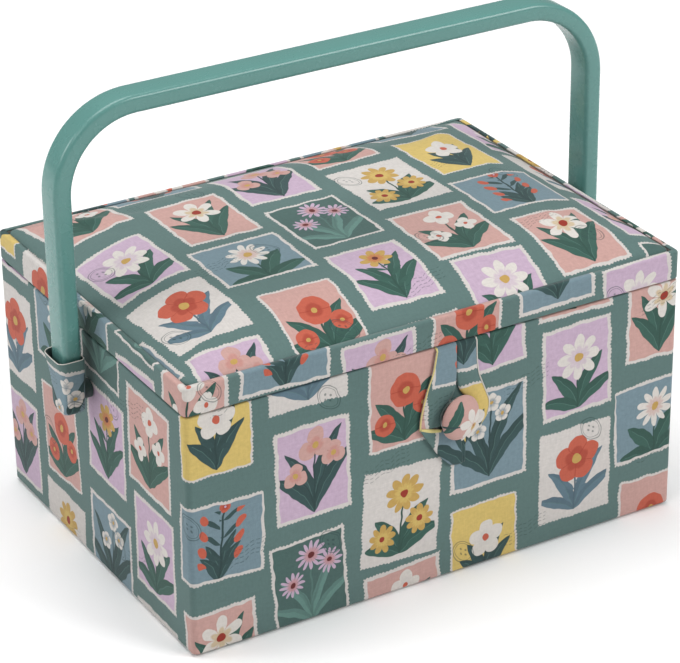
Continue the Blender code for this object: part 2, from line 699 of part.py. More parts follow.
def sleeve_ring(side, height, grow, half_width, flare):
    """One ring of a sleeve: the strap's section grown by the layers round it, flared towards the mouth."""
    outer = arm_centre() + HANDLE_THICKNESS / 2 + grow + flare * SLEEVE_FLARE_OUT
    inner = arm_centre() - HANDLE_THICKNESS / 2 - grow - flare * SLEEVE_FLARE_IN
    half_x, middle = (outer - inner) / 2, (outer + inner) / 2
    radius = HANDLE_EDGE + grow + flare * SLEEVE_FLARE_ROUND
    outline = rounded_rectangle(half_x, half_width + grow + flare * SLEEVE_FLARE_SIDE, radius)
    return [(side * (middle + x), y, height) for x, y in outline]


def sleeve_wall(side, grow):
    """Rings of one face of a sleeve, from its closed bottom to its mouth."""
    bottom = handle_bottom() - grow
    rings = []
    for height, half_width in end_levels(bottom, HANDLE_WIDTH / 2 + grow, HANDLE_END_ROUND + grow):
        rings.append(sleeve_ring(side, height, grow, half_width - grow, 0))
    start = BODY_HEIGHT - SLEEVE_DROP - SLEEVE_FLARE_HEIGHT
    for step in range(DOME_STEPS + 1):
        share = step / DOME_STEPS
        height = start + share * SLEEVE_FLARE_HEIGHT
        rings.append(sleeve_ring(side, height, grow, HANDLE_WIDTH / 2, share * share))
    return rings


def make_side(name, side, handle):
    """One side's sleeve, screw, bush and nut, and their holes. Returns the sleeve and the wall's drill."""
    place, direction, across = (side * BODY_WIDTH / 2, 0, PIVOT_HEIGHT), (side, 0, 0), (0, *OFF_SQUARE)
    arm_inner, arm_outer = HANDLE_STANDOFF, HANDLE_STANDOFF + HANDLE_THICKNESS
    hole = SCREW_RADIUS + SCREW_CLEARANCE

    outer, inner = sleeve_wall(side, GAP + SLEEVE_WALL), sleeve_wall(side, GAP)
    sleeve = make(f"sleeve_{name}", loft(outer + inner[::-1]), PRINTED_COTTON)
    carve(sleeve, drill(f"sleeve_hole_{name}", BUSH_RADIUS + SLEEVE_CLEARANCE, place, direction, across,
                        0, (arm_inner + arm_outer) / 2))

    wall_drill = drill(f"pivot_hole_{name}", hole, place, direction, across,
                       -CAVITY_INSET - OVERRUN, arm_inner / 2)
    floor, past = arm_outer - COUNTERBORE, arm_outer + OVERRUN
    stepped = [(0, past), (COUNTERBORE_RADIUS, past), (COUNTERBORE_RADIUS, floor), (hole, floor),
               (hole, arm_inner / 2), (0, arm_inner / 2)]
    carve(handle, cutter(f"arm_hole_{name}", lathe(stepped, place, direction, across)))

    bush = [(hole, GAP), (BUSH_RADIUS, GAP), (BUSH_RADIUS, arm_inner - GAP), (hole, arm_inner - GAP)]
    make(f"pivot_bush_{name}", lathe(bush, place, direction, across, closed=True), BUSH_PLASTIC)

    nut_face = -CAVITY_INSET - GAP
    head = arm_outer - COUNTERBORE + GAP
    tip = nut_face - NUT_BORE + GAP
    screw = [(0, head + SCREW_HEAD), (SCREW_HEAD_RADIUS, head + SCREW_HEAD), (SCREW_HEAD_RADIUS, head),
             (SCREW_RADIUS, head), (SCREW_RADIUS, tip), (0, tip)]
    make(f"pivot_screw_{name}", lathe(screw, place, direction, across), ZINC)

    bore = SCREW_RADIUS + GAP
    end = nut_face - NUT_LENGTH
    nut = [(0, nut_face - NUT_BORE), (bore, nut_face - NUT_BORE), (bore, nut_face), (NUT_RADIUS, nut_face),
           (NUT_RADIUS, end + NUT_ROUND), (NUT_RADIUS - NUT_ROUND, end), (0, end)]
    make(f"pivot_nut_{name}", lathe(nut, place, direction, across), ZINC)
    return sleeve, wall_drill


# The closure


def loop_outline(half_top, half_widest, half_foot, top, widest, cheek, foot):
    """Outline of a loop that hangs from its top: it swells, drops straight and draws in to its foot."""
    right = []
    for step in range(LOOP_STEPS + 1):
        share = step / LOOP_STEPS
        swell = (1 - math.cos(share * math.pi)) / 2
        right.append((half_top + (half_widest - half_top) * swell, top + (widest - top) * share))
    right += [(half_widest, widest - cheek), (half_foot, foot)]
    return right + [(-x, z) for x, z in reversed(right)]


def loop_plate(outline, near, far):
    """A plate in front of the box, between two distances from its cloth."""
    rings = []
    for away in (near, far):
        rings.append([(CLOSURE_X + x, -BODY_DEPTH / 2 - away, z) for x, z in outline])
    return loft(rings)


def make_loop():
    """The folded cloth loop, with the tab that holds it between the lid and the box."""
    near, far = GAP, GAP + LOOP_THICKNESS
    tab_low = BODY_HEIGHT + GAP
    tab_high = tab_low + LOOP_TAB
    widest, foot = BUTTON_HEIGHT + LOOP_CHEEK / 2, BUTTON_HEIGHT - LOOP_BELOW_BUTTON
    outline = loop_outline(LOOP_TOP_WIDTH / 2, LOOP_WIDTH / 2, LOOP_FOOT_WIDTH / 2,
                           tab_high, widest, LOOP_CHEEK, foot)
    loop = make("closure_loop", loop_plate(outline, near, far), PRINTED_COTTON)
    opening = loop_outline(LOOP_SLIT / 2, LOOP_WIDTH / 2 - LOOP_BAND, LOOP_SLIT / 2,
                           tab_high - LOOP_SLIT_DROP, widest, LOOP_CHEEK, foot + LOOP_BAND * LOOP_FOOT_SHARE)
    carve(loop, cutter("loop_opening", loop_plate(opening, near - OVERRUN, far + OVERRUN)))
    front = -BODY_DEPTH / 2
    half = LOOP_TOP_WIDTH / 2
    tab = cutter("loop_tab", box((CLOSURE_X - half + LOOP_TAB, front - near - LOOP_THICKNESS / 2, tab_low),
                                 (CLOSURE_X + half - LOOP_TAB, front + LOOP_TAB_DEPTH, tab_high)))
    carve(loop, tab, operation="UNION")
    return loop


def make_button():
    """The covered button, its back plate with the shank through the wall, and the washer inside.

    Returns the drills for the shank and for the room round the washer.
    """
    place = (CLOSURE_X, -BODY_DEPTH / 2, BUTTON_HEIGHT)
    direction, across = (0, -1, 0), (1, 0, 0)
    back = GAP + LOOP_THICKNESS + GAP
    edge = back + BUTTON_EDGE
    shell = []
    for step in range(DOME_STEPS + 1):
        angle = step / DOME_STEPS * math.pi / 2
        rise = (BUTTON_DEPTH - BUTTON_EDGE) * math.cos(angle)
        shell.append((BUTTON_RADIUS * math.sin(angle), edge + rise))
    shell.append((BUTTON_RADIUS - BUTTON_ROLL / 2, back + BUTTON_EDGE / 3))
    shell.append((BUTTON_RADIUS - BUTTON_ROLL, back))
    recess = back + BUTTON_RECESS
    shell += [(BUTTON_RECESS_RADIUS, back), (BUTTON_RECESS_RADIUS, recess), (0, recess)]
    make("button_shell", lathe(shell, place, direction, across, BUTTON_STEPS), BUTTON_CLOTH)

    plate, plate_top = BUTTON_RECESS_RADIUS - GAP, back + BUTTON_RECESS - GAP
    washer_face = -CAVITY_INSET - GAP
    head = washer_face - WASHER - GAP
    plate_back = [(0, plate_top), (plate, plate_top), (plate, back), (SHANK_RADIUS, back),
                  (SHANK_RADIUS, head), (SHANK_HEAD_RADIUS, head), (SHANK_HEAD_RADIUS, head - SHANK_HEAD),
                  (0, head - SHANK_HEAD)]
    make("button_back", lathe(plate_back, place, direction, across), ZINC)
    hole = SHANK_RADIUS + SHANK_CLEARANCE
    washer = [(hole, washer_face), (WASHER_RADIUS, washer_face), (WASHER_RADIUS, washer_face - WASHER),
              (hole, washer_face - WASHER)]
    make("button_washer", lathe(washer, place, direction, across, closed=True), ZINC)
    shank_drill = drill("shank_hole", hole, place, direction, across, -CAVITY_INSET - OVERRUN, back)
    washer_drill = drill("washer_room", WASHER_RADIUS + GAP, place, direction, across,
                         -CAVITY_INSET - LEDGE_DEPTH - OVERRUN, -CAVITY_INSET + LINING / 2)
    return shank_drill, washer_drill


def main():
    """Build the basket, closed, with its handle upright."""
    clear_scene()
    lid_axis = axis_empty("lid_hinge", (0, HINGE_Y, HINGE_Z))
    handle_axis = axis_empty("handle_swing", (0, 0, PIVOT_HEIGHT))
    loop_axis = axis_empty("loop_flip", (CLOSURE_X, LOOP_Y, HINGE_Z))

    handle = make_handle()
    sleeve_left, left_drill = make_side("left", -1, handle)
    sleeve_right, right_drill = make_side("right", 1, handle)
    shank_drill, washer_drill = make_button()

    make_base()
    make_walls({"left_board": [left_drill], "right_board": [right_drill], "front_board": [shank_drill]})
    make_linings({"lining_left": [left_drill], "lining_right": [right_drill], "lining_front": [shank_drill]})
    make_body_cover([left_drill, right_drill, shank_drill])
    make_tray(washer_drill)
    make_hinge_strip()

    hang(lid_axis, *make_rim(), *make_padded_top(), *make_lid_fittings())
    hang(handle_axis, handle, sleeve_left, sleeve_right)
    hang(loop_axis, make_loop())
    hang(lid_axis, loop_axis)


main()
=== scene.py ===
import logging
import math
from dataclasses import dataclass, field
from enum import Enum
from typing import Callable, Iterable, Sequence, Union

import bmesh
import bpy
from bmesh.types import BMEdge, BMesh, BMFace, BMLoop, BMVert
from bpy.types import ColorRamp, Material, NodeSocket, Object, Scene
from mathutils import Matrix, Vector


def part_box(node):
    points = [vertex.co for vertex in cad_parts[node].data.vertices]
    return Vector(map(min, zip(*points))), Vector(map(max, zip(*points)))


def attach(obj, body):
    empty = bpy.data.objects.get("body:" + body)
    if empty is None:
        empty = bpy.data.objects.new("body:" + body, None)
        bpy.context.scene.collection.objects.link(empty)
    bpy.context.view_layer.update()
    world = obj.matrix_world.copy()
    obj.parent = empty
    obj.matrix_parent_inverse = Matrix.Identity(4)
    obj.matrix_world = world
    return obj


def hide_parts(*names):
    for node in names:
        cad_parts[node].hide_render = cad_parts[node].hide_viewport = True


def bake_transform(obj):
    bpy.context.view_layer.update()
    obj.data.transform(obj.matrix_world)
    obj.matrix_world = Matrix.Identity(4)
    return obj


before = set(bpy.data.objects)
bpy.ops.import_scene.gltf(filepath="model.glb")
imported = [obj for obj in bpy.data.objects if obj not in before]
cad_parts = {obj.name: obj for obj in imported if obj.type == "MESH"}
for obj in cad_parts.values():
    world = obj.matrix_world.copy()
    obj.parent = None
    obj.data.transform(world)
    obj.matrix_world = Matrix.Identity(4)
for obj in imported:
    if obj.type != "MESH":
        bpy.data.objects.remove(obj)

LOG = logging.getLogger("sewing_basket")
MM = 0.001
FLAT = "cloth_flat"  # a piece's UV map: where each point lies on the uncut cloth, in metres
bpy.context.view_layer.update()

Colour = tuple[float, float, float]
Pair = tuple[float, float]


class Body(Enum):
    """What a piece moves with."""

    BOX = "box"
    LID = "lid"
    BAIL = "bail"
    LOOP = "loop"


class Slot(Enum):
    """The material slots of the part."""

    PRINT = "printed_cotton"
    LINING = "lining_cloth"
    BOARD = "grey_board"
    TRAY = "tray_plastic"
    HANDLE = "handle_plastic"
    BUSH = "bush_plastic"
    ZINC = "zinc_steel"
    BUTTON = "button_cloth"
    PINCUSHION = "pincushion_cloth"
    ELASTIC = "elastic"


# Shader maths


Term = Union[float, "Wire"]
Shade = Union[Colour, "Wire"]


def _of_two(operation: str, reflected: bool = False) -> Callable[["Wire", Term], "Wire"]:
    """Make an operator that adds a Math node of two terms.

    Args:
        operation: The node's operation.
        reflected: Whether the wire is the second term.

    Returns:
        The operator.
    """
    if reflected:
        return lambda wire, other: wire.bench.math(operation, other, wire)
    return lambda wire, other: wire.bench.math(operation, wire, other)


class Wire:
    """An output socket of a finish, which takes part in arithmetic."""

    def __init__(self, bench: "Bench", socket: NodeSocket) -> None:
        """Hold a socket.

        Args:
            bench: The node tree that the socket is in.
            socket: The output that this wire carries.
        """
        self.bench = bench
        self.socket = socket

    __add__ = __radd__ = _of_two("ADD")
    __sub__, __rsub__ = _of_two("SUBTRACT"), _of_two("SUBTRACT", True)
    __mul__ = __rmul__ = _of_two("MULTIPLY")
    __truediv__, __rtruediv__ = _of_two("DIVIDE"), _of_two("DIVIDE", True)
    __pow__ = _of_two("POWER")
    __mod__ = _of_two("FLOORED_MODULO")  # what is left past whole steps
    __lt__ = _of_two("LESS_THAN")  # 1 where it holds
    __gt__ = _of_two("GREATER_THAN")
    most = _of_two("MAXIMUM")

    def __abs__(self) -> "Wire":
        """The size of this wire's number."""
        return self.bench.math("ABSOLUTE", self)

    def floor(self) -> "Wire":
        """The whole number at or below this wire."""
        return self.bench.math("FLOOR", self)

    def held(self) -> "Wire":
        """This wire kept between 0 and 1."""
        return self.bench.node("ShaderNodeClamp", feeds={"Value": self})

    def arched(self) -> "Wire":
        """0 where this share is 0 or 1, and up to 1 half way."""
        return self * (1 - self) * 4.0

    def within(self, soft: float = 0.25) -> "Wire":
        """A mask that is 1 where this distance is below 0.

        Args:
            soft: Width of the mask's edge, in the distance's unit.

        Returns:
            The mask.
        """
        settings = {"operation": "MULTIPLY_ADD", "use_clamp": True}
        return self.bench.node("ShaderNodeMath", settings, {0: self, 1: -1 / soft, 2: 0.5})


class Bench:
    """The node tree of one finish, with short ways to add its nodes."""

    def __init__(self, name: str) -> None:
        """Make a new material with an empty node tree.

        Args:
            name: The material's name.
        """
        self.material = bpy.data.materials.new(name)
        self.material.use_nodes = True
        self.tree = self.material.node_tree
        self.tree.nodes.clear()

    def node(self, kind: str, settings: dict | None = None, feeds: dict | None = None,
             output: Union[int, str] = 0) -> Wire:
        """Add a node.

        Args:
            kind: The node's type.
            settings: Its settings, which are set first. A ramp has its interpolation, and its stops
                as pairs of a position and a colour.
            feeds: The value or wire of each socket, by its name or place.
            output: The socket that the wire carries, by its name or place.

        Returns:
            The node's output.
        """
        made = self.tree.nodes.new(kind)
        for name, value in (settings or {}).items():
            if name == "stops":
                self._set_stops(made.color_ramp, value)
            elif name == "interpolation":
                made.color_ramp.interpolation = value
            else:
                setattr(made, name, value)
        for name, value in (feeds or {}).items():
            self.feed(made.inputs[name], value)
        return Wire(self, made.outputs[output])

    @staticmethod
    def _set_stops(ramp: ColorRamp,
                   stops: Sequence[tuple[float, Sequence[float]]]) -> None:
        """Give a ramp its stops.

        Args:
            ramp: The ramp.
            stops: The position and the colour of each stop.
        """
        while len(ramp.elements) > 1:
            ramp.elements.remove(ramp.elements[-1])
        for place, (position, colour) in enumerate(stops):
            element = ramp.elements[0] if place == 0 else ramp.elements.new(position)
            element.position = position
            element.color = (*colour, 1.0)

    def feed(self, socket: NodeSocket, value: object) -> None:
        """Link a wire to an input, or set its value.

        Args:
            socket: The input.
            value: A wire, a colour, a vector or a number.
        """
        if isinstance(value, Wire):
            self.tree.links.new(value.socket, socket)
        elif isinstance(value, tuple) and socket.type == "RGBA":
            socket.default_value = (*value, 1.0)
        else:
            socket.default_value = value

    def math(self, operation: str, *terms: Term) -> Wire:
        """Add a Math node on one, two or three terms."""
        return self.node("ShaderNodeMath", {"operation": operation}, dict(enumerate(terms)))

    def vector(self, operation: str, *terms: object, output: str = "Vector") -> Wire:
        """Add a Vector Math node on vectors and numbers."""
        settings = {"operation": operation}
        return self.node("ShaderNodeVectorMath", settings, dict(enumerate(terms)), output)

    def joined(self, x: Term, y: Term, z: Term = 0.0) -> Wire:
        """A vector of three terms."""
        return self.node("ShaderNodeCombineXYZ", feeds={"X": x, "Y": y, "Z": z})

    def split(self, vector: Wire) -> tuple[Wire, ...]:
        """The three parts of a vector."""
        first = self.node("ShaderNodeSeparateXYZ", feeds={"Vector": vector})
        return tuple(Wire(self, socket) for socket in first.socket.node.outputs)

    def length(self, x: Term, y: Term) -> Wire:
        """The length of a flat vector."""
        return self.vector("LENGTH", self.joined(x, y), output="Value")

    def layer(self, below: Shade, above: Shade, mask: Term) -> Wire:
        """A colour laid over another.

        Args:
            below: The colour underneath.
            above: The colour laid over it.
            mask: How much of the upper colour shows, from 0 to 1.

        Returns:
            The mixed colour.
        """
        feeds = {0: mask, 6: below, 7: above}
        return self.node("ShaderNodeMix", {"data_type": "RGBA"}, feeds, 2)

    def scaled(self, colour: Shade, amount: Term) -> Wire:
        """A colour or a vector times a factor."""
        feeds = {0: colour, "Scale": amount}
        return self.node("ShaderNodeVectorMath", {"operation": "SCALE"}, feeds)

    def noise(self, place: Wire, scale: float, detail: float = 2.0, flat: bool = False,
              output: str = "Fac") -> Wire:
        """Smooth noise.

        Args:
            place: Where it is read.
            scale: How many blotches there are to a unit of the place.
            detail: How many finer layers it has.
            flat: Whether it is read in two dimensions.
            output: Fac or Color.

        Returns:
            The noise, around 0.5.
        """
        settings = {"noise_dimensions": "2D" if flat else "3D"}
        feeds = {"Vector": place, "Scale": scale, "Detail": detail}
        return self.node("ShaderNodeTexNoise", settings, feeds, output)

    def flat_place(self) -> Wire:
        """Where a point lies on the uncut cloth, in millimetres."""
        return self.scaled(self.node("ShaderNodeUVMap", {"uv_map": FLAT}), 1 / MM)

    def object_place(self) -> Wire:
        """Where a point is on the whole object, in millimetres."""
        return self.scaled(self.node("ShaderNodeTexCoord", output="Object"), 1 / MM)

    def bump(self, height: Wire, depth: float, strength: float = 1.0,
             onto: Wire | None = None) -> Wire:
        """A surface raised by a height.

        Args:
            height: The height, from 0 to 1.
            depth: What a height of 1 stands for, in metres.
            strength: How much of it shows.
            onto: A normal that is already raised.

        Returns:
            The raised normal.
        """
        feeds = {"Height": height, "Distance": depth, "Strength": strength}
        if onto is not None:
            feeds["Normal"] = onto
        return self.node("ShaderNodeBump", feeds=feeds)

    def surface(self, feeds: dict) -> Material:
        """Finish the material with a Principled shader.

        Args:
            feeds: The values and wires of the shader's sockets.

        Returns:
            The material.
        """
        shader = self.node("ShaderNodeBsdfPrincipled", feeds=feeds)
        end = self.tree.nodes.new("ShaderNodeOutputMaterial")
        self.feed(end.inputs["Surface"], shader)
        return self.material


def from_screen(red: float, green: float, blue: float) -> Colour:
    """Turn a colour as it looks on a screen into linear light.

    Args:
        red: Its red, from 0 to 255.
        green: Its green.
        blue: Its blue.

    Returns:
        The colour, from 0 to 1.
    """
    def one(value: float) -> float:
        """One channel."""
        share = value / 255
        return share / 12.92 if share <= 0.04045 else ((share + 0.055) / 1.055) ** 2.4
    return one(red), one(green), one(blue)


# Finishes


@dataclass(frozen=True)
class Plant:
    """One flower or sprig of the print, with its patch. Lengths are in millimetres on the cloth."""

    panel: Colour
    leaf: Colour
    petal: Colour
    shade: Colour
    heart: Colour
    half_width: float = 24.0
    half_height: float = 29.5
    border: float = 1.9
    leaf_lean: float = 0.6
    leaf_length: float = 32.0
    leaf_width: float = 4.0
    petals: int = 5
    petal_waist: float = 0.6  # how near the middle the petals part, as a share of their reach
    head: float = 11.0
    head_height: float = 10.0
    side_head: float = 0.0  # reach of the two smaller flowers
    side_out: float = 10.0
    side_height: float = 2.0
    leaflet: float = 0.0  # length of the small leaves up the stem
    berry: float = 0.0


GROUND = from_screen(87, 111, 108)
INK = from_screen(44, 66, 66)
CREAM = from_screen(194, 189, 185)
PINK = from_screen(184, 147, 140)
LILAC = from_screen(181, 159, 179)
SLATE = from_screen(110, 131, 140)
YELLOW = from_screen(197, 173, 103)
FOREST = from_screen(70, 95, 91)
CORAL = from_screen(178, 88, 69)
BRICK = from_screen(140, 50, 38)
WHITE = from_screen(201, 196, 190)
LEAF = from_screen(53, 85, 76)
LEAF_DARK = from_screen(51, 73, 73)
LEAF_BLUE = from_screen(86, 108, 120)
LEAF_PALE = from_screen(92, 125, 118)
GOLD = from_screen(178, 146, 82)
ROSE = from_screen(178, 120, 112)
MAROON = from_screen(92, 38, 38)

PLANTS = (
    Plant(PINK, LEAF, WHITE, GOLD, BRICK, border=1.7, leaf_lean=0.42, leaf_length=34,
          leaf_width=4.2, petals=6, petal_waist=0.3, head=12.5, head_height=9),
    Plant(LILAC, LEAF, WHITE, LILAC, GOLD, leaf_lean=0.95, leaf_length=25, leaf_width=4.2,
          petals=8, petal_waist=0.5, head=13, head_height=6),
    Plant(SLATE, LEAF_DARK, WHITE, LEAF_BLUE, GOLD, half_width=26, half_height=31, leaf_lean=0.62,
          leaf_length=40, petal_waist=0.75, head=5.4, head_height=19, side_head=5.0, side_out=7.0,
          side_height=8),
    Plant(PINK, LEAF, CORAL, BRICK, GOLD, half_width=23, border=1.3, leaf_lean=0.9,
          leaf_length=27, leaf_width=4.6, petals=2, petal_waist=0.92, head=9.2, head_height=5,
          side_head=6.2, side_out=11, side_height=-8),
    Plant(LILAC, LEAF_DARK, PINK, ROSE, GOLD, leaf_lean=0.5, leaf_length=36, petals=3,
          petal_waist=0.45, head=9.5, head_height=14, side_head=7.0, side_out=10.5, side_height=3),
    Plant(SLATE, LEAF_DARK, CORAL, BRICK, LILAC, half_width=28, half_height=25, border=1.6,
          leaf_lean=0.35, leaf_length=22, leaf_width=3.0, petals=4, petal_waist=0.8, head=3.4,
          head_height=19, leaflet=10.0, berry=2.6),
    Plant(PINK, LEAF, WHITE, CREAM, CORAL, half_width=25.5, half_height=30.5, leaf_lean=0.7,
          leaf_length=30, leaf_width=4.4, petals=4, head=8.4, head_height=15, side_head=6.6,
          side_out=9.5, side_height=-1),
    Plant(LILAC, LEAF, GOLD, CORAL, MAROON, half_width=23.5, leaf_lean=0.55, leaf_length=30,
          leaf_width=3.8, petals=7, petal_waist=0.55, head=9.0, head_height=12, leaflet=9.0),
    Plant(SLATE, LEAF, WHITE, PINK, GOLD, half_width=28.5, half_height=25.5, border=1.6,
          leaf_lean=1.1, leaf_length=24, leaf_width=5.0, petals=10, petal_waist=0.4, head=11.5,
          head_height=6),
    Plant(CREAM, LEAF_BLUE, CORAL, BRICK, GOLD, half_width=25, half_height=30, leaf_lean=0.85,
          leaf_length=28, leaf_width=3.6, petal_waist=0.74, head=13.5, head_height=7, leaflet=8.0),
    Plant(YELLOW, LEAF_DARK, WHITE, CREAM, CORAL, half_width=23, border=0.9, leaf_lean=0.45,
          leaf_length=26, leaf_width=3.8, petal_waist=0.66, head=10.5, head_height=4, leaflet=7.0),
    Plant(CREAM, LEAF, GOLD, YELLOW, BRICK, half_width=25.5, half_height=30.5, leaf_lean=1.0,
          leaf_length=24, leaf_width=4.4, petals=9, head=10.8, head_height=11, side_head=8.2,
          side_out=10.5, side_height=-9),
    Plant(FOREST, LEAF_PALE, LILAC, ROSE, MAROON, border=1.5, leaf_lean=0.8, leaf_length=30,
          leaf_width=2.8, petals=12, petal_waist=0.22, head=8.5, head_height=15, side_head=7.2,
          side_out=10.5, side_height=5),
)

# The least and the most that a ramp's 0 and 1 stand for in each measure of a plant.
LIMITS = {
    "half_width": (0.0, 40.0), "half_height": (0.0, 40.0), "border": (0.0, 5.0),
    "leaf_lean": (0.0, 1.5), "leaf_length": (0.0, 50.0), "leaf_width": (0.0, 8.0),
    "petals": (0.0, 16.0), "petal_waist": (0.0, 1.0), "head": (0.0, 20.0),
    "head_height": (-30.0, 30.0), "side_head": (0.0, 12.0), "leaflet": (0.0, 14.0),
    "berry": (0.0, 4.0), "side_out": (0.0, 20.0), "side_height": (-30.0, 30.0),
}


@dataclass(frozen=True)
class PrintedCotton:
    """Plain-weave cotton printed with pinked patches in staggered columns, each with one plant.

    Lengths are in millimetres on the cloth.
    """

    column: float = 58.0
    row: float = 69.5
    stagger: float = 0.382  # how much higher each column starts than the one before, in rows
    step_row: int = 5  # how many plants on the next patch up is
    step_column: int = -1
    wander: float = 2.4  # how far drawn edges stray
    turn: float = 0.13  # how much patches differ in their turn
    slack_x: float = 5.0  # how much patches differ in their place
    slack_y: float = 9.0
    wear: float = 0.16  # how much the ink varies
    button: float = 7.0  # radius of a button's outline
    button_rim: float = 5.6
    hole_out: float = 1.5
    stitch: float = 2.3
    stitch_step: float = 3.4
    trail_step: float = 2.6  # between two trails of stitches
    line: float = 0.3
    mark_ink: float = 0.6  # how strongly buttons and stitches are printed
    roughness: float = 0.86

    def make(self) -> Material:
        """Build the material.

        Returns:
            The material.
        """
        bench = Bench("printed_cotton")
        flat = bench.flat_place()
        return cotton_surface(bench, flat, self.pattern(bench, flat), self.roughness)

    def pattern(self, bench: Bench, flat: Wire) -> Wire:
        """Draw the print.

        Args:
            bench: The finish's node tree.
            flat: The place on the cloth, in millimetres.

        Returns:
            The print's colour.
        """
        stray = bench.noise(flat, 0.11, 1.0, True, "Color")
        place = bench.vector("MULTIPLY_ADD", stray, (self.wander, self.wander, 0.0), flat)
        across, along, _ = bench.split(place)
        column = (across / self.column).floor()
        x = across - (column + 0.5) * self.column
        moved = along - (column * self.stagger % 1.0) * self.row
        row = (moved / self.row).floor()
        y = moved - (row + 0.5) * self.row
        kinds = float(len(PLANTS))
        kind = (row * self.step_row + column * self.step_column) % kinds
        chance = bench.node("ShaderNodeTexWhiteNoise", {"noise_dimensions": "2D"},
                            {"Vector": bench.joined(column, row)}, "Color")
        first, second, third = (part - 0.5 for part in bench.split(chance))
        turn = first * self.turn
        x, y = x + turn * y + second * self.slack_x, y - turn * x + third * self.slack_y
        drawn = PlantDrawing(bench, x, y, (kind + 0.5) / kinds).over(GROUND)
        inked = bench.layer(drawn, INK, self.marks(bench, across, along))
        brushed = bench.noise(flat, 0.55, 3.0, True)
        return bench.scaled(inked, brushed * self.wear + (1 - self.wear / 2))

    def marks(self, bench: Bench, across: Wire, along: Wire) -> Wire:
        """Draw small outlines of buttons and trails of stitches.

        Args:
            bench: The finish's node tree.
            across: The place across the cloth, in millimetres.
            along: The place along the cloth.

        Returns:
            How strongly the marks are printed.
        """
        x = (across + 31.0) % (1.5 * self.column) - 0.75 * self.column
        y = (along + 16.0 + across * 0.4) % (1.3 * self.row) - 0.65 * self.row
        reach = bench.length(x, y)
        ring = (abs(reach - self.button) - self.line).within(self.line)
        rim = (abs(reach - self.button_rim) - 0.2).within(self.line)
        to_hole = bench.length(abs(x) - self.hole_out, abs(y) - self.hole_out)
        holes = (to_hole - 0.7).within(self.line)
        x = (across + 4.0) % (1.6 * self.column) - 0.8 * self.column
        y = (along + 70.0 - across * 0.3) % (1.4 * self.row) - 0.7 * self.row
        wave = bench.math("SINE", x * 0.55) * 0.8
        from_trail = abs((y + wave) % self.trail_step - self.trail_step / 2)
        trail = (from_trail - 0.22).within(self.line) * (x % self.stitch_step < self.stitch)
        stitches = trail * (abs(x) < 15.0) * (abs(y) < 5.0)
        return ring.most(rim).most(holes).most(stitches) * self.mark_ink


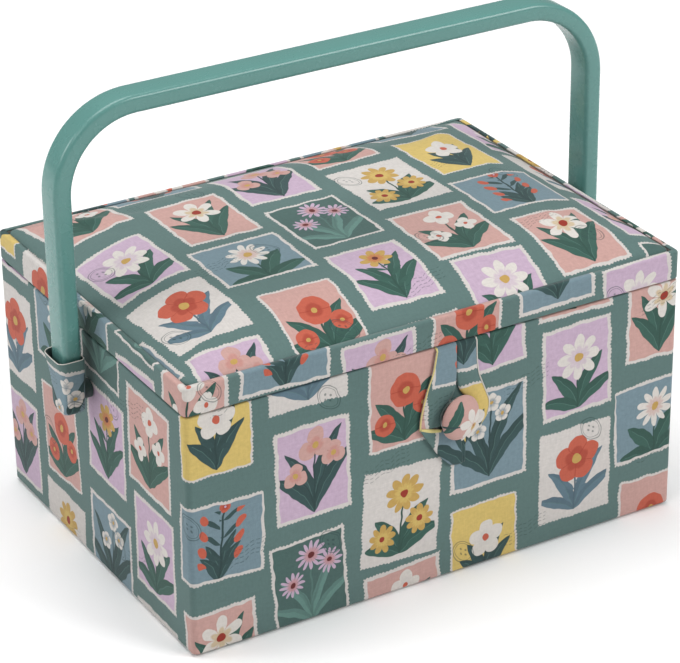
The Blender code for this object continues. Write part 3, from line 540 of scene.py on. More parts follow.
class PlantDrawing:
    """The nodes that draw a patch and its plant, in the patch's own coordinates in millimetres."""

    BASE = -23.0  # where the stems meet
    SCALE = 1.12  # how much larger a plant is drawn than its measures
    TOOTH = 1.15  # half a tooth of the pinked edge
    TOOTH_DEPTH = 0.7
    CREAM_INSIDE = 0.8  # how much wider the cream edge is than the plant's border
    CRISP = 0.3
    STEM = 0.5  # half widths
    SIDE_STEM = 0.4
    VEIN = 0.16
    LEAFLET = 1.9
    PITCH = 8.5  # from one small leaf to the next
    SWAY = 3.5  # how much higher one of the two smaller flowers is

    def __init__(self, bench: Bench, x: Wire, y: Wire, chooser: Wire) -> None:
        """Look up the plant's measures.

        Args:
            bench: The finish's node tree.
            x: Place across the patch.
            y: Place up the patch.
            chooser: Which of the plants it is, from 0 to 1.
        """
        self.bench, self.chooser = bench, chooser
        self.patch_x, self.patch_y = x, y
        half_width, half_height, border = self.measures("half_width", "half_height", "border")
        self.out_x, self.out_y = abs(x) - half_width, abs(y) - half_height
        inside = self.out_x.most(self.out_y) + border + self.CREAM_INSIDE
        self.panel = inside.within(self.CRISP)
        self.x, self.y = x / self.SCALE, y / self.SCALE
        self.up = self.y - self.BASE
        self.side = bench.math("SIGN", self.x)
        self.bent = self.x - (self.up * 0.025) * (self.up * 0.05)
        self.leaf, self.petal = self.colour("leaf"), self.colour("petal")
        self.petals, self.waist, self.head = self.measures("petals", "petal_waist", "head")
        self.head_height, self.side_head, self.leaflet = self.measures(
            "head_height", "side_head", "leaflet")
        self.berry, self.side_out, side_height = self.measures("berry", "side_out", "side_height")
        self.side_height = side_height + self.side * self.SWAY

    def ramp(self, pick: Callable[[Plant], Sequence[float]]) -> Wire:
        """Add a stepped ramp.

        Args:
            pick: The three numbers, or the colour, that it holds of a plant.

        Returns:
            What it holds of the chosen plant.
        """
        stops = [(place / len(PLANTS), pick(plant)) for place, plant in enumerate(PLANTS)]
        settings = {"interpolation": "CONSTANT", "stops": stops}
        return self.bench.node("ShaderNodeValToRGB", settings, {"Fac": self.chooser})

    def colour(self, name: str) -> Wire:
        """One of the plant's colours."""
        return self.ramp(lambda plant: getattr(plant, name))

    def measures(self, *names: str) -> list[Wire]:
        """Look up three of the plant's measures.

        Args:
            names: The names of their fields.

        Returns:
            The measures.
        """
        limits = [LIMITS[name] for name in names]
        ramp = self.ramp(lambda plant: [(getattr(plant, name) - low) / (high - low)
                                        for name, (low, high) in zip(names, limits)])
        return [share * (high - low) + low if low else share * high
                for share, (low, high) in zip(self.bench.split(ramp), limits)]

    def over(self, ground: Shade) -> Wire:
        """Lay the patch and its plant over the ground.

        Args:
            ground: The colour between the patches.

        Returns:
            The print's colour.
        """
        bench = self.bench
        teeth_x, teeth_y = (bench.math("PINGPONG", place, self.TOOTH) * self.TOOTH_DEPTH
                            for place in (self.patch_x, self.patch_y))
        patch = (self.out_x + teeth_y).most(self.out_y + teeth_x).within(self.CRISP)
        self.drawn = bench.layer(ground, CREAM, patch)
        grain = bench.noise(bench.joined(self.patch_x, self.patch_y), 0.35, 3.0, True)
        self.lay(bench.scaled(self.colour("panel"), grain * 0.16 + 0.92), 1.0)
        for draw in (self.leaves, self.stems, self.leaflets, self.flowers):
            draw()
        return self.drawn

    def lay(self, colour: Shade, mask: Term) -> None:
        """Lay a colour over what is drawn, inside the patch's panel."""
        self.drawn = self.bench.layer(self.drawn, colour, self.panel * mask)

    def leaves(self) -> None:
        """Draw the two pairs of large leaves."""
        bench = self.bench
        lean, length, width = self.measures("leaf_lean", "leaf_length", "leaf_width")
        reach = bench.length(self.x, self.up)
        angle = bench.math("ARCTAN2", abs(self.x), self.up)
        lean = lean * (1 - self.side * 0.12)
        length = length * (1 + self.side * 0.1)
        for share, stretch in ((0.38, 1.22), (1.0, 1.0)):  # the upright pair, then the spread one
            run = (reach / (length * stretch)).held()
            centre = lean * share + run * 0.35 - 0.16
            aside = (angle - centre) * reach
            blade = abs(aside) - width * (run.arched() ** 0.8) + 0.15
            self.lay(bench.scaled(self.leaf, 0.88 + (aside > 0.0) * 0.2), blade.within())
            vein = (abs(aside) - self.VEIN).within(0.2) * (run < 0.86) * 0.5
            self.lay(LEAF_PALE, vein * (blade < 0.0))

    def stems(self) -> None:
        """Draw the stem and the two that branch from it."""
        above = self.up > 0.0
        stem = (abs(self.bent) - self.STEM).within() * above * (self.y < self.head_height)
        rise = self.up / (self.side_height - self.BASE)
        aside = abs(abs(self.bent) - self.side_out * rise * rise)
        side_stem = (aside - self.SIDE_STEM).within() * above * (self.y < self.side_height)
        self.lay(self.bench.scaled(self.leaf, 0.75), stem.most(side_stem * (self.side_head > 0.5)))

    def leaflets(self) -> None:
        """Draw the small leaves up the stem, and the berries at their tips."""
        bench, out = self.bench, abs(self.bent)
        place = (self.y - out * 0.7 + self.side * 2.2) / self.PITCH
        along = (place % 1.0 - 0.5) * self.PITCH
        run = (out / self.leaflet.most(0.1)).held()
        blade = abs(along) - run.arched() * self.LEAFLET + 0.15
        span = (self.y > -13.0) * (self.y < self.head_height - self.head * 0.6)
        self.lay(self.leaf, blade.within() * span * (self.leaflet > 0.5))
        berries = (bench.length(out - self.leaflet, along) - self.berry).within()
        self.lay(self.petal, berries * span * (self.berry > 0.2))

    def flowers(self) -> None:
        """Draw the two smaller flowers and the large one."""
        bench = self.bench
        shade_colour, heart_colour = self.colour("shade"), self.colour("heart")
        heads = ((abs(self.bent) - self.side_out, self.y - self.side_height, self.side_head),
                 (self.bent, self.y - self.head_height, self.head))
        for aside, above, size in heads:
            away = bench.length(aside, above)
            angle = bench.math("ARCTAN2", aside, above)
            fold = abs(bench.math("COSINE", angle * self.petals * 0.5))
            edge = size * (self.waist + (1 - self.waist) * (fold ** 0.75))
            shown = size > 0.5
            self.lay(self.petal, (away - edge).within() * shown)
            self.lay(shade_colour, (away - edge * 0.52).within(1.2) * 0.55 * shown)
            crease = (fold * away / self.petals * 2.0 - 0.28).within(0.2)
            self.lay(shade_colour, crease * (away < edge * 0.95) * 0.5 * shown)
            self.lay(heart_colour, (away - size * 0.2).within() * shown)


def cotton_surface(bench: Bench, flat: Wire, colour: Shade, roughness: float, thread: float = 0.42,
                   sheen: float = 0.12) -> Material:
    """Finish a plain-weave cotton.

    Args:
        bench: The finish's node tree.
        flat: The place on the cloth, in millimetres.
        colour: The cloth's colour.
        roughness: How matte it is.
        thread: Width of one thread, in millimetres.
        sheen: How much the nap catches the light.

    Returns:
        The material.
    """
    across, along, _ = bench.split(flat)
    slub_length = 9.0
    warp = bench.noise(bench.joined(across / thread * 0.5, along / slub_length), 1.0, 1.0, True)
    weft = bench.noise(bench.joined(across / slub_length, along / thread * 0.5), 1.0, 1.0, True)
    slub = warp * 0.5 + weft * 0.5
    over_across = bench.math("SINE", across / thread * math.pi)
    over = over_across * bench.math("SINE", along / thread * math.pi)
    broad = bench.noise(flat, 0.016, 2.0, True)
    shaded = bench.scaled(colour, slub * 0.2 + over * 0.05 + broad * 0.10 + 0.85)
    raised = bench.bump(over * 0.3 + slub * 0.6, 0.14 * MM, 0.6)
    return bench.surface({
        "Base Color": shaded,
        "Roughness": (slub * 0.12 + roughness - 0.06).held(),
        "Normal": bench.bump(broad, 1.6 * MM, 0.35, raised),
        "Specular IOR Level": 0.22,
        "Sheen Weight": sheen,
        "Sheen Roughness": 0.45,
    })


@dataclass(frozen=True)
class PlainCotton:
    """Plain dyed cotton, for the linings, the pincushion, the hems, the piping, and the dark
    painted shade inside the sleeves.
    """

    name: str
    colour: Colour
    roughness: float = 0.85
    thread: float = 0.45
    sheen: float = 0.15

    def make(self) -> Material:
        """Build the material.

        Returns:
            The material.
        """
        bench = Bench(self.name)
        return cotton_surface(bench, bench.flat_place(), self.colour, self.roughness, self.thread,
                              self.sheen)


@dataclass(frozen=True)
class ButtonCotton:
    """The pink cloth of the covered button, cut so that one white flower fills it."""

    leaf_turn: Pair = (0.62, 0.78)
    leaf_start: float = -11.0
    leaf_length: float = 21.0
    leaf_half: float = 3.1
    flower_out: float = 4.6
    flower_down: float = 2.6
    petal: float = 9.4
    petal_waist: float = 0.38
    petals: int = 5

    def make(self) -> Material:
        """Build the material.

        Returns:
            The material.
        """
        bench = Bench("button_cotton")
        flat = bench.flat_place()
        stray = bench.noise(flat, 0.3, 1.0, True, "Color")
        x, y, _ = bench.split(bench.vector("MULTIPLY_ADD", stray, (1.0, 1.0, 0.0), flat))
        cosine, sine = self.leaf_turn
        leaf_x, leaf_y = x * cosine + y * sine + 1.0, y * cosine - x * sine - 6.2
        run = ((leaf_x - self.leaf_start) / self.leaf_length).held()
        aside = abs(leaf_y - run * 2.0)
        blade = aside - run.arched() ** 0.8 * self.leaf_half + 0.1
        colour = bench.layer(PINK, LEAF, blade.within())
        vein = (aside - 0.14).within(0.2) * (blade < -0.4) * 0.45
        colour = bench.layer(colour, LEAF_PALE, vein)
        stem = (abs(y + x * 0.12 + 2.2) - 0.55).within() * (x < 0.5)
        colour = bench.layer(colour, LEAF_DARK, stem)
        aside, above = x - self.flower_out, y + self.flower_down
        away = bench.length(aside, above)
        angle = bench.math("ARCTAN2", aside, above)
        fold = abs(bench.math("COSINE", angle * (self.petals / 2) + 0.4))
        edge = self.petal * (self.petal_waist + (1 - self.petal_waist) * fold ** 0.8)
        colour = bench.layer(colour, WHITE, (away - edge).within())
        crease = (fold * away * 0.4 - 0.26).within(0.2) * (away < edge * 0.9) * 0.4
        colour = bench.layer(colour, ROSE, crease)
        heart = (bench.length(aside - 1.2, above + 2.4) - 2.3).within(0.6) * 0.9
        colour = bench.layer(colour, GOLD, heart)
        eye = (bench.length(aside - 0.6, above + 1.4) - 0.75).within(0.4) * 0.7
        return cotton_surface(bench, flat, bench.layer(colour, BRICK, eye), 0.82, 0.4)


@dataclass(frozen=True)
class MouldedPlastic:
    """Injection-moulded plastic with a fine satin grain and faint handling marks."""

    name: str
    colour: Colour
    roughness: float = 0.4
    grain: float = 0.006 * MM

    def make(self) -> Material:
        """Build the material.

        Returns:
            The material.
        """
        bench = Bench(self.name)
        place = bench.object_place()
        fine = bench.noise(place, 1.6, 2.0)
        cloudy = bench.noise(place, 0.03, 2.0)
        rubbed = bench.noise(place, 0.12, 4.0)
        colour = bench.scaled(self.colour, cloudy * 0.08 + fine * 0.02 + 0.95)
        raised = bench.bump(fine, self.grain, 0.2)
        return bench.surface({
            "Base Color": colour,
            "Roughness": (rubbed * 0.1 + self.roughness - 0.05).held(),
            "Normal": bench.bump(cloudy, 0.6 * MM, 0.2, raised),
            "Specular IOR Level": 0.5,
        })


@dataclass(frozen=True)
class ZincPlate:
    """Bright zinc plating with a fine turned grain."""

    tint: Colour = (0.62, 0.63, 0.64)

    def make(self) -> Material:
        """Build the material.

        Returns:
            The material.
        """
        bench = Bench("zinc_plate")
        place = bench.object_place()
        turned = bench.noise(bench.vector("MULTIPLY", place, (1.2, 6.0, 6.0)), 1.0, 3.0)
        worn = turned * 0.2 + bench.noise(place, 0.5, 3.0) * 0.15
        return bench.surface({
            "Base Color": bench.scaled(self.tint, worn + 0.82),
            "Metallic": 1.0,
            "Roughness": (worn + 0.16).held(),
            "Normal": bench.bump(turned, 0.04 * MM, 0.4),
        })


@dataclass(frozen=True)
class GreyBoard:
    """Recycled grey board: speckled fibres and a soft, uneven face."""

    tint: Colour = (0.33, 0.30, 0.26)

    def make(self) -> Material:
        """Build the material.

        Returns:
            The material.
        """
        bench = Bench("grey_board")
        place = bench.object_place()
        fibres = bench.noise(bench.vector("MULTIPLY", place, (0.5, 0.5, 2.4)), 1.0, 4.0)
        specks = (bench.noise(place, 1.4, 1.0) - 0.66).within(0.05)
        return bench.surface({
            "Base Color": bench.scaled(self.tint, fibres * 0.4 + specks * 0.14 + 0.68),
            "Roughness": (fibres * 0.1 + 0.85).held(),
            "Normal": bench.bump(fibres, 0.15 * MM, 0.5),
        })


@dataclass(frozen=True)
class RibbedElastic:
    """Woven elastic: close ribs along its length and a firm cream yarn."""

    yarn: Colour = from_screen(196, 186, 170)

    def make(self) -> Material:
        """Build the material.

        Returns:
            The material.
        """
        bench = Bench("ribbed_elastic")
        across, along, _ = bench.split(bench.flat_place())
        rib = bench.math("SINE", along * 5.6) * 0.5 + 0.5
        pick = bench.math("SINE", across * 7.5) * 0.5 + 0.5
        return bench.surface({
            "Base Color": bench.scaled(self.yarn, rib * 0.14 + pick * 0.08 + 0.8),
            "Roughness": (rib * 0.1 + 0.74).held(),
            "Normal": bench.bump(rib * 0.7 + pick * 0.3, 0.25 * MM, 0.7),
        })


@dataclass(frozen=True)
class PaleFloor:
    """A plain pale studio floor with a barely uneven finish."""

    tint: Colour = (0.96, 0.96, 0.96)

    def make(self) -> Material:
        """Build the material.

        Returns:
            The material.
        """
        bench = Bench("pale_floor")
        haze = bench.noise(bench.node("ShaderNodeTexCoord", output="Object"), 3.0, 2.0)
        return bench.surface({
            "Base Color": bench.scaled(self.tint, haze * 0.01 + 0.99),
            "Roughness": (haze * 0.05 + 0.8).held(),
            "Specular IOR Level": 0.1,
        })


class Finishes:
    """Every material of the basket, made once."""

    def __init__(self) -> None:
        """Make the materials."""
        self.print = PrintedCotton().make()
        self.lining = PlainCotton("lining_cotton", from_screen(190, 152, 144)).make()
        # Painted shade: a dark cloth for the sleeves' inner faces, standing in for the shade inside
        # their mouths.
        self.shade = PlainCotton("sleeve_inside_painted_shade", from_screen(58, 72, 70)).make()
        self.hem = PlainCotton("hem_cotton", from_screen(198, 194, 186)).make()
        self.piping = PlainCotton("piping_cotton", from_screen(206, 193, 130)).make()
        self.pincushion = PlainCotton("pincushion_cotton", from_screen(180, 92, 72), 0.8, 0.5,
                                      0.3).make()
        self.button = ButtonCotton().make()
        self.handle = MouldedPlastic("handle_plastic", from_screen(89, 137, 131), 0.27).make()
        # Dark plastic, darkened further as painted shade so that the bushes pass for the shadow
        # between each sleeve and the wall.
        self.bush = MouldedPlastic("bush_plastic", from_screen(44, 62, 59), 0.6).make()
        self.tray = MouldedPlastic("tray_plastic", from_screen(208, 206, 199), 0.3).make()
        self.zinc = ZincPlate().make()
        self.board = GreyBoard().make()
        self.elastic = RibbedElastic().make()


# Shared ways of making a piece


def laid(shape: BMesh,
         spot: Callable[[BMLoop], Pair]) -> None:
    """Lay a mesh on the uncut cloth.

    Args:
        shape: The mesh.
        spot: The place on the cloth of one corner of a face.
    """
    layer = shape.loops.layers.uv.new(FLAT)
    for face in shape.faces:
        for corner in face.loops:
            corner[layer].uv = spot(corner)


def lay_plan(shape: BMesh, shift: Pair = (0.0, 0.0),
             axes: tuple[int, int] = (0, 1)) -> None:
    """Lay a shape on the uncut cloth by two of its axes.

    Args:
        shape: The mesh.
        shift: Where the object's origin lies on the cloth.
        axes: The axes that run across and along the cloth.
    """
    across, along = axes
    laid(shape, lambda corner: (corner.vert.co[across] + shift[0],
                                corner.vert.co[along] + shift[1]))


def woven(columns: int, rows: int, place: Callable[[float, float], Sequence[float]],
          size: Pair, shift: Pair = (0.0, 0.0)) -> BMesh:
    """A sheet of cloth: a grid whose points are laid in space and on the uncut cloth.

    Args:
        columns: How many steps across.
        rows: How many steps along.
        place: The point in space for a share across and a share along.
        size: How wide and how long the uncut cloth is.
        shift: Where its first corner lies on the print.

    Returns:
        The sheet, one layer thick.
    """
    shape = bmesh.new()
    bmesh.ops.create_grid(shape, x_segments=columns, y_segments=rows, size=0.5)
    laid(shape, lambda corner: ((corner.vert.co.x + 0.5) * size[0] + shift[0],
                                (corner.vert.co.y + 0.5) * size[1] + shift[1]))
    for vert in shape.verts:
        vert.co = place(vert.co.x + 0.5, vert.co.y + 0.5)
    return shape


def softened(piece: Object) -> None:
    """Smooth a piece by one subdivision."""
    smooth = piece.modifiers.new("smooth", "SUBSURF")
    smooth.levels = smooth.render_levels = 1


def swollen(piece: Object, held: Callable[[Vector], bool], pressure: float,
            limit: float, frames: int = 20) -> None:
    """Swell a stuffed piece by cloth simulation, and keep the result.

    Args:
        piece: The piece, at its place.
        held: Whether a point is sewn or glued down.
        pressure: How hard the stuffing presses.
        limit: The furthest that a point may move.
        frames: How many frames the simulation runs.
    """
    start = [vert.co.copy() for vert in piece.data.vertices]
    group = piece.vertex_groups.new(name="held")
    group.add([place for place, point in enumerate(start) if held(point)], 1.0, "REPLACE")
    cloth = piece.modifiers.new("swell", "CLOTH")
    cloth.settings.quality = 6
    cloth.settings.vertex_group_mass = group.name
    cloth.settings.use_pressure = True
    cloth.settings.uniform_pressure_force = pressure
    cloth.settings.effector_weights.gravity = 0.0
    cloth.collision_settings.use_collision = False
    scene = bpy.context.scene
    for number in range(1, frames + 1):
        scene.frame_set(number)
    result = piece.evaluated_get(bpy.context.evaluated_depsgraph_get())
    moved = [vert.co.copy() for vert in result.data.vertices]
    piece.modifiers.remove(cloth)
    piece.vertex_groups.remove(group)
    scene.frame_set(1)
    for vert, before, after in zip(piece.data.vertices, start, moved):
        shift = after - before
        if shift.length > limit:
            shift *= limit / shift.length
        vert.co = before + shift
    piece.data.update()


def block(low: Vector, high: Vector) -> BMesh:
    """A block between two corners.

    Args:
        low: Its lowest corner.
        high: Its highest corner.

    Returns:
        Its mesh.
    """
    shape = bmesh.new()
    place = Matrix.Translation((high + low) / 2) @ Matrix.Diagonal((*(high - low), 1))
    bmesh.ops.create_cube(shape, size=1.0, matrix=place)
    return shape


def bevelled(shape: BMesh, geom: Iterable[Union[BMEdge, BMVert]], radius: float, steps: int,
             affect: str = "EDGES") -> None:
    """Round some edges or corners of a mesh.

    Args:
        shape: The mesh.
        geom: The edges or the corners.
        radius: Radius of the rounding.
        steps: Steps across it.
        affect: EDGES or VERTICES.
    """
    bmesh.ops.bevel(shape, geom=list(geom), offset=radius, offset_type="OFFSET", segments=steps,
                    profile=0.5, affect=affect, material=-1, clamp_overlap=True)


def rounded_block(low: Vector, high: Vector, radius: float, steps: int) -> BMesh:
    """A block between two corners with all its edges rounded.

    Args:
        low: Its lowest corner.
        high: Its highest corner.
        radius: Radius of its edges.
        steps: Steps across each edge.

    Returns:
        The block.
    """
    shape = block(low, high)
    bevelled(shape, shape.edges, radius, steps)
    return shape


def upright(shape: BMesh) -> list[BMEdge]:
    """The edges that climb."""
    return [edge for edge in shape.edges
            if abs(edge.verts[0].co.z - edge.verts[1].co.z) > MM / 2]


def at_height(parts: Iterable[Union[BMEdge, BMFace]],
              height: float) -> list[Union[BMEdge, BMFace]]:
    """The edges or faces that lie level at a height."""
    return [part for part in parts
            if all(abs(vert.co.z - height) < MM / 100 for vert in part.verts)]


def rounded_ring(shape: BMesh, half_a: float, half_b: float, radius: float, steps: int,
                 place: Matrix) -> list[BMEdge]:
    """The outline of a rounded rectangle.

    Args:
        shape: The mesh that it is made in.
        half_a: Half its size along its own X.
        half_b: Half its size along its own Y.
        radius: Radius of its corners.
        steps: Steps round each corner.
        place: Where its own X, Y and middle go.

    Returns:
        Its edges.
    """
    made = bmesh.ops.create_grid(shape, x_segments=1, y_segments=1, size=1.0)
    verts = made["verts"]
    bmesh.ops.scale(shape, vec=(half_a, half_b, 1.0), verts=verts)
    bevelled(shape, verts, radius, steps, "VERTICES")
    bmesh.ops.transform(shape, matrix=place, verts=shape.verts)
    bmesh.ops.delete(shape, geom=shape.faces[:], context="FACES_ONLY")
    return list(shape.edges)


def drawn_out(shape: BMesh, edges: Iterable[BMEdge], place: Matrix) -> list[BMEdge]:
    """Draw a ring of edges out to a new place.

    Args:
        shape: The mesh.
        edges: The ring.
        place: How the new ring's points are moved from the old ones.

    Returns:
        The new ring's edges.
    """
    made = bmesh.ops.extrude_edge_only(shape, edges=list(edges))["geom"]
    verts = [one for one in made if isinstance(one, BMVert)]
    bmesh.ops.transform(shape, matrix=place, verts=verts)
    ends = set(verts)
    return [one for one in made if isinstance(one, BMEdge) and set(one.verts) <= ends]


def closed(shape: BMesh, edges: Iterable[BMEdge]) -> None:
    """Fill a hole with triangles."""
    made = bmesh.ops.holes_fill(shape, edges=list(edges), sides=0)["faces"]
    bmesh.ops.triangulate(shape, faces=made)


def about(point: Sequence[float], turn: Matrix) -> Matrix:
    """A turn or a scale about a point."""
    return Matrix.Translation(point) @ turn @ Matrix.Translation([-one for one in point])


@dataclass
class Wrap:
    """Cloth stretched round four walls and folded over their upper and lower edges."""

    low: float
    high: float
    half_x: float
    half_y: float
    corner: float
    fold_over: float
    fold_under: float
    edge_over: float
    edge_under: float
    shift: Pair = (0.0, 0.0)
    corner_steps: int = 7
    edge_steps: int = 4

    def along_outline(self, x: float, y: float) -> Pair:
        """Where the outline is nearest to a point.

        Args:
            x: The point's place along the basket.
            y: Its place across the basket.

        Returns:
        Returns:
            The distance along the outline from the front's middle, positive to the right, and how
            far inside it the point is.
        """
        straight_x, straight_y = self.half_x - self.corner, self.half_y - self.corner
        quarter = self.corner * math.pi / 2
        side = 1.0 if x >= 0 else -1.0
        x = abs(x)
        if x > straight_x and abs(y) > straight_y:
            if y < 0:
                angle = math.atan2(x - straight_x, -y - straight_y)
                run = straight_x + self.corner * angle
            else:
                angle = math.atan2(y - straight_y, x - straight_x)
                run = straight_x + quarter + 2 * straight_y + self.corner * angle
            inside = self.corner - math.hypot(x - straight_x, abs(y) - straight_y)
        elif self.half_x - x < self.half_y - abs(y):
            run, inside = straight_x + quarter + y + straight_y, self.half_x - x
        elif y < 0:
            run, inside = x, self.half_y + y
        else:
            run, inside = 2 * (straight_x + quarter + straight_y) - x, self.half_y - y
        return side * run, inside

    def round_length(self) -> float:
        """Length of the whole outline."""
        return 4 * (self.half_x + self.half_y - 2 * self.corner) + 2 * math.pi * self.corner

    def lay_flat(self, shape: BMesh) -> None:
        """Give each face its place on the uncut cloth.

        Args:
            shape: The cloth's mesh.
        """
        whole, middle = self.round_length(), (self.low + self.high) / 2

        def spot(corner: BMLoop) -> Pair:
            """Place a corner, beside the rest of its face where that goes over the seam.

            Args:
                corner: The face's corner.

            Returns:
                Its place on the cloth.
            """
            centre, point = corner.face.calc_center_median(), corner.vert.co
            run_here, _ = self.along_outline(centre.x, centre.y)
            run, inside = self.along_outline(point.x, point.y)
            run += whole * round((run_here - run) / whole)
            rise = point.z + (inside if point.z > middle else -inside)
            return run + self.shift[0], rise + self.shift[1]

        laid(shape, spot)

    def shape(self) -> BMesh:
        """Build the cloth.

        Returns:
            The cloth, one layer thick.
        """
        made = block(Vector((-self.half_x, -self.half_y, self.low)),
                     Vector((self.half_x, self.half_y, self.high)))
        bevelled(made, upright(made), self.corner, self.corner_steps)
        for level, radius, fold in ((self.high, self.edge_over, self.fold_over),
                                    (self.low, self.edge_under, self.fold_under)):
            bevelled(made, at_height(made.edges, level), radius, self.edge_steps)
            cap = max(at_height(made.faces, level), key=lambda face: face.calc_area())
            bmesh.ops.inset_region(made, faces=[cap], thickness=fold - radius,
                                   use_even_offset=True)
            bmesh.ops.delete(made, geom=[cap], context="FACES")
        self.lay_flat(made)
        return made


# The basket's sub-assemblies


@dataclass
class SubAssembly:
    """Pieces of the basket that are made together."""

    finishes: Finishes
    made: list[Object] = field(default_factory=list, init=False)

    def build(self) -> None:
        """Make the pieces."""
        raise NotImplementedError

    def shown(self, name: str, shape: BMesh, finish: Material, slot: Slot, wall: float = 0.0,
              crisp: float = 40.0) -> Object:
        """Turn a shape into a piece with a finish.

        Args:
            name: The piece's name.
            shape: Its mesh, which is freed.
            finish: Its material.
            slot: The part's slot that the finish stands for. Not used.
            wall: How thick a sheet becomes behind its face, or 0 for a closed shape.
            crisp: Edges that turn by more degrees than this stay sharp.

        Returns:
            The piece, which rides on nothing yet.
        """
        mesh = bpy.data.meshes.new(name)
        shape.to_mesh(mesh)
        shape.free()
        for polygon in mesh.polygons:
            polygon.use_smooth = True
        mesh.set_sharp_from_angle(angle=math.radians(crisp))
        mesh.materials.append(finish)
        piece = bpy.data.objects.new(name, mesh)
        bpy.context.scene.collection.objects.link(piece)
        if wall:
            thickness = piece.modifiers.new("thickness", "SOLIDIFY")
            thickness.thickness = wall
            thickness.offset = -1.0
            thickness.use_even_offset = True
        LOG.info("%s: %d faces", name, len(mesh.polygons))
        self.made.append(piece)
        return piece


@dataclass
class BoxShell(SubAssembly):
    """The printed cloth round the basket's walls, and the panel that it stands on."""

    cloth: float = 0.8 * MM
    corner: float = 3.5 * MM
    top_fold: float = 5.2 * MM
    top_edge: float = 1.0 * MM  # radius of the fold over the walls
    turn_under: float = 14 * MM
    under_edge: float = 1.5 * MM
    print_shift: Pair = (0.171, 0.031)
    base_corner: float = 3 * MM  # of the panel under the box
    base_edge: float = 0.4 * MM
    base_shift: Pair = (0.4, 0.3)

    def build(self) -> None:
        """Make both pieces."""
        self.cover()
        self.base()

    def cover(self) -> None:
        """Make the cloth round the four walls."""
        low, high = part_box("body_cover")
        wrap = Wrap(low.z, high.z, high.x, high.y, self.corner, self.top_fold, self.turn_under,
                    self.top_edge, self.under_edge, self.print_shift)
        piece = self.shown("box_cloth", wrap.shape(), self.finishes.print, Slot.PRINT, self.cloth)
        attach(piece, Body.BOX.value)
        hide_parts("body_cover")
        wrap.round_length()

    def base(self) -> None:
        """Make the covered panel under the box."""
        shape = block(*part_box("base_cover"))
        bevelled(shape, upright(shape), self.base_corner, 5)
        climbing = set(upright(shape))
        level = [edge for edge in shape.edges if edge not in climbing]
        bevelled(shape, level, self.base_edge, 2)
        lay_plan(shape, self.base_shift)
        piece = self.shown("base_panel", shape, self.finishes.print, Slot.PRINT)
        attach(piece, Body.BOX.value)
        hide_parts("base_cover")


@dataclass
class Interior(SubAssembly):
    """The linings of the box, the two ledges and the tray that stands on them."""

    cloth: float = 0.8 * MM
    pucker: float = 0.6 * MM  # at the top of the walls
    pucker_room: float = 0.14 * MM  # how much thinner the walls' cloth is for it
    puckers: float = 97.0  # radians of them along a wall
    puckers_from: float = 0.8  # how high up the wall they start
    crown: float = 0.3 * MM  # of the lining on the bottom
    ledge_edge: float = 1.2 * MM
    tray_edge: float = 0.5 * MM

    def build(self) -> None:
        """Make the linings and ledges, and dress the tray."""
        for side in ("front", "back", "left", "right"):
            self.wall(f"lining_{side}", f"{side}_board")
        self.floor()
        for side in ("front", "back"):
            self.ledge(f"tray_ledge_{side}")
        dress("tray", self.finishes.tray, self.tray_edge)

    def wall(self, node: str, board: str) -> None:
        """Make the lining of one wall, faintly puckered where it is turned in at the top.

        Args:
            node: The CAD node that it replaces.
            board: The board that it is glued to. Not used.
        """
        low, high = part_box(node)
        size = high - low
        long_x = size.x > size.y
        inward = -1.0 if (low.y if long_x else low.x) > 0 else 1.0
        face = high if inward > 0 else low

        def place(across: float, along: float) -> tuple[float, float, float]:
            """A point of the lining's face.

            Args:
                across: Its share of the way across.
                along: Its share of the way along.

            Returns:
                The point.
            """
            share = 1 - across if (inward > 0) == long_x else across
            pucker = self.pucker * math.sin(share * self.puckers)
            back = inward * abs(pucker * max(0.0, along - self.puckers_from))
            z = low.z + along * size.z
            if long_x:
                return low.x + share * size.x, face.y - back, z
            return face.x - back, low.y + share * size.y, z

        span = size.x if long_x else size.y
        shape = woven(80, 18, place, (span, size.z))
        piece = self.shown(f"{node}_cloth", shape, self.finishes.lining, Slot.LINING,
                           self.cloth - self.pucker_room)
        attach(piece, Body.BOX.value)
        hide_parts(node)

    def floor(self) -> None:
        """Make the lining on the bottom, which is faintly crowned."""
        low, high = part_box("lining_base")
        size = high - low

        def place(across: float, along: float) -> tuple[float, float, float]:
            """A point of the lining's face."""
            crown = 16 * across * (1 - across) * along * (1 - along) * self.crown
            return low.x + across * size.x, low.y + along * size.y, high.z + crown

        shape = woven(60, 44, place, (size.x, size.y))
        piece = self.shown("lining_base_cloth", shape, self.finishes.lining, Slot.LINING,
                           self.cloth)
        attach(piece, Body.BOX.value)
        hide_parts("lining_base")

    def ledge(self, node: str) -> None:
        """Make a cloth-covered ledge with rounded edges.

        Args:
            node: The CAD node that it replaces.
        """
        low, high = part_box(node)
        shape = rounded_block(low, high, self.ledge_edge, 4)
        lay_plan(shape, axes=(0, 2))
        piece = self.shown(f"{node}_cloth", shape, self.finishes.lining, Slot.LINING)
        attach(piece, Body.BOX.value)
        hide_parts(node)


def dress(node: str, finish: Material, rounding: float = 0.0) -> None:
    """Give a CAD node a finish, and fine rounded edges.

    Args:
        node: The node's name.
        finish: Its material.
        rounding: Radius of its edges, or 0 to leave them.
    """
    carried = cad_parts[node]
    for place in carried.material_slots:
        place.material = finish
    if rounding:
        weld = carried.modifiers.new("weld", "WELD")
        weld.merge_threshold = 0.002 * MM
        bevel = carried.modifiers.new("edges", "BEVEL")
        bevel.width = rounding
        bevel.segments = 2
        bevel.limit_method = "ANGLE"
        bevel.angle_limit = math.radians(40)
        bevel.harden_normals = True
    LOG.info("%s: dressed", node)


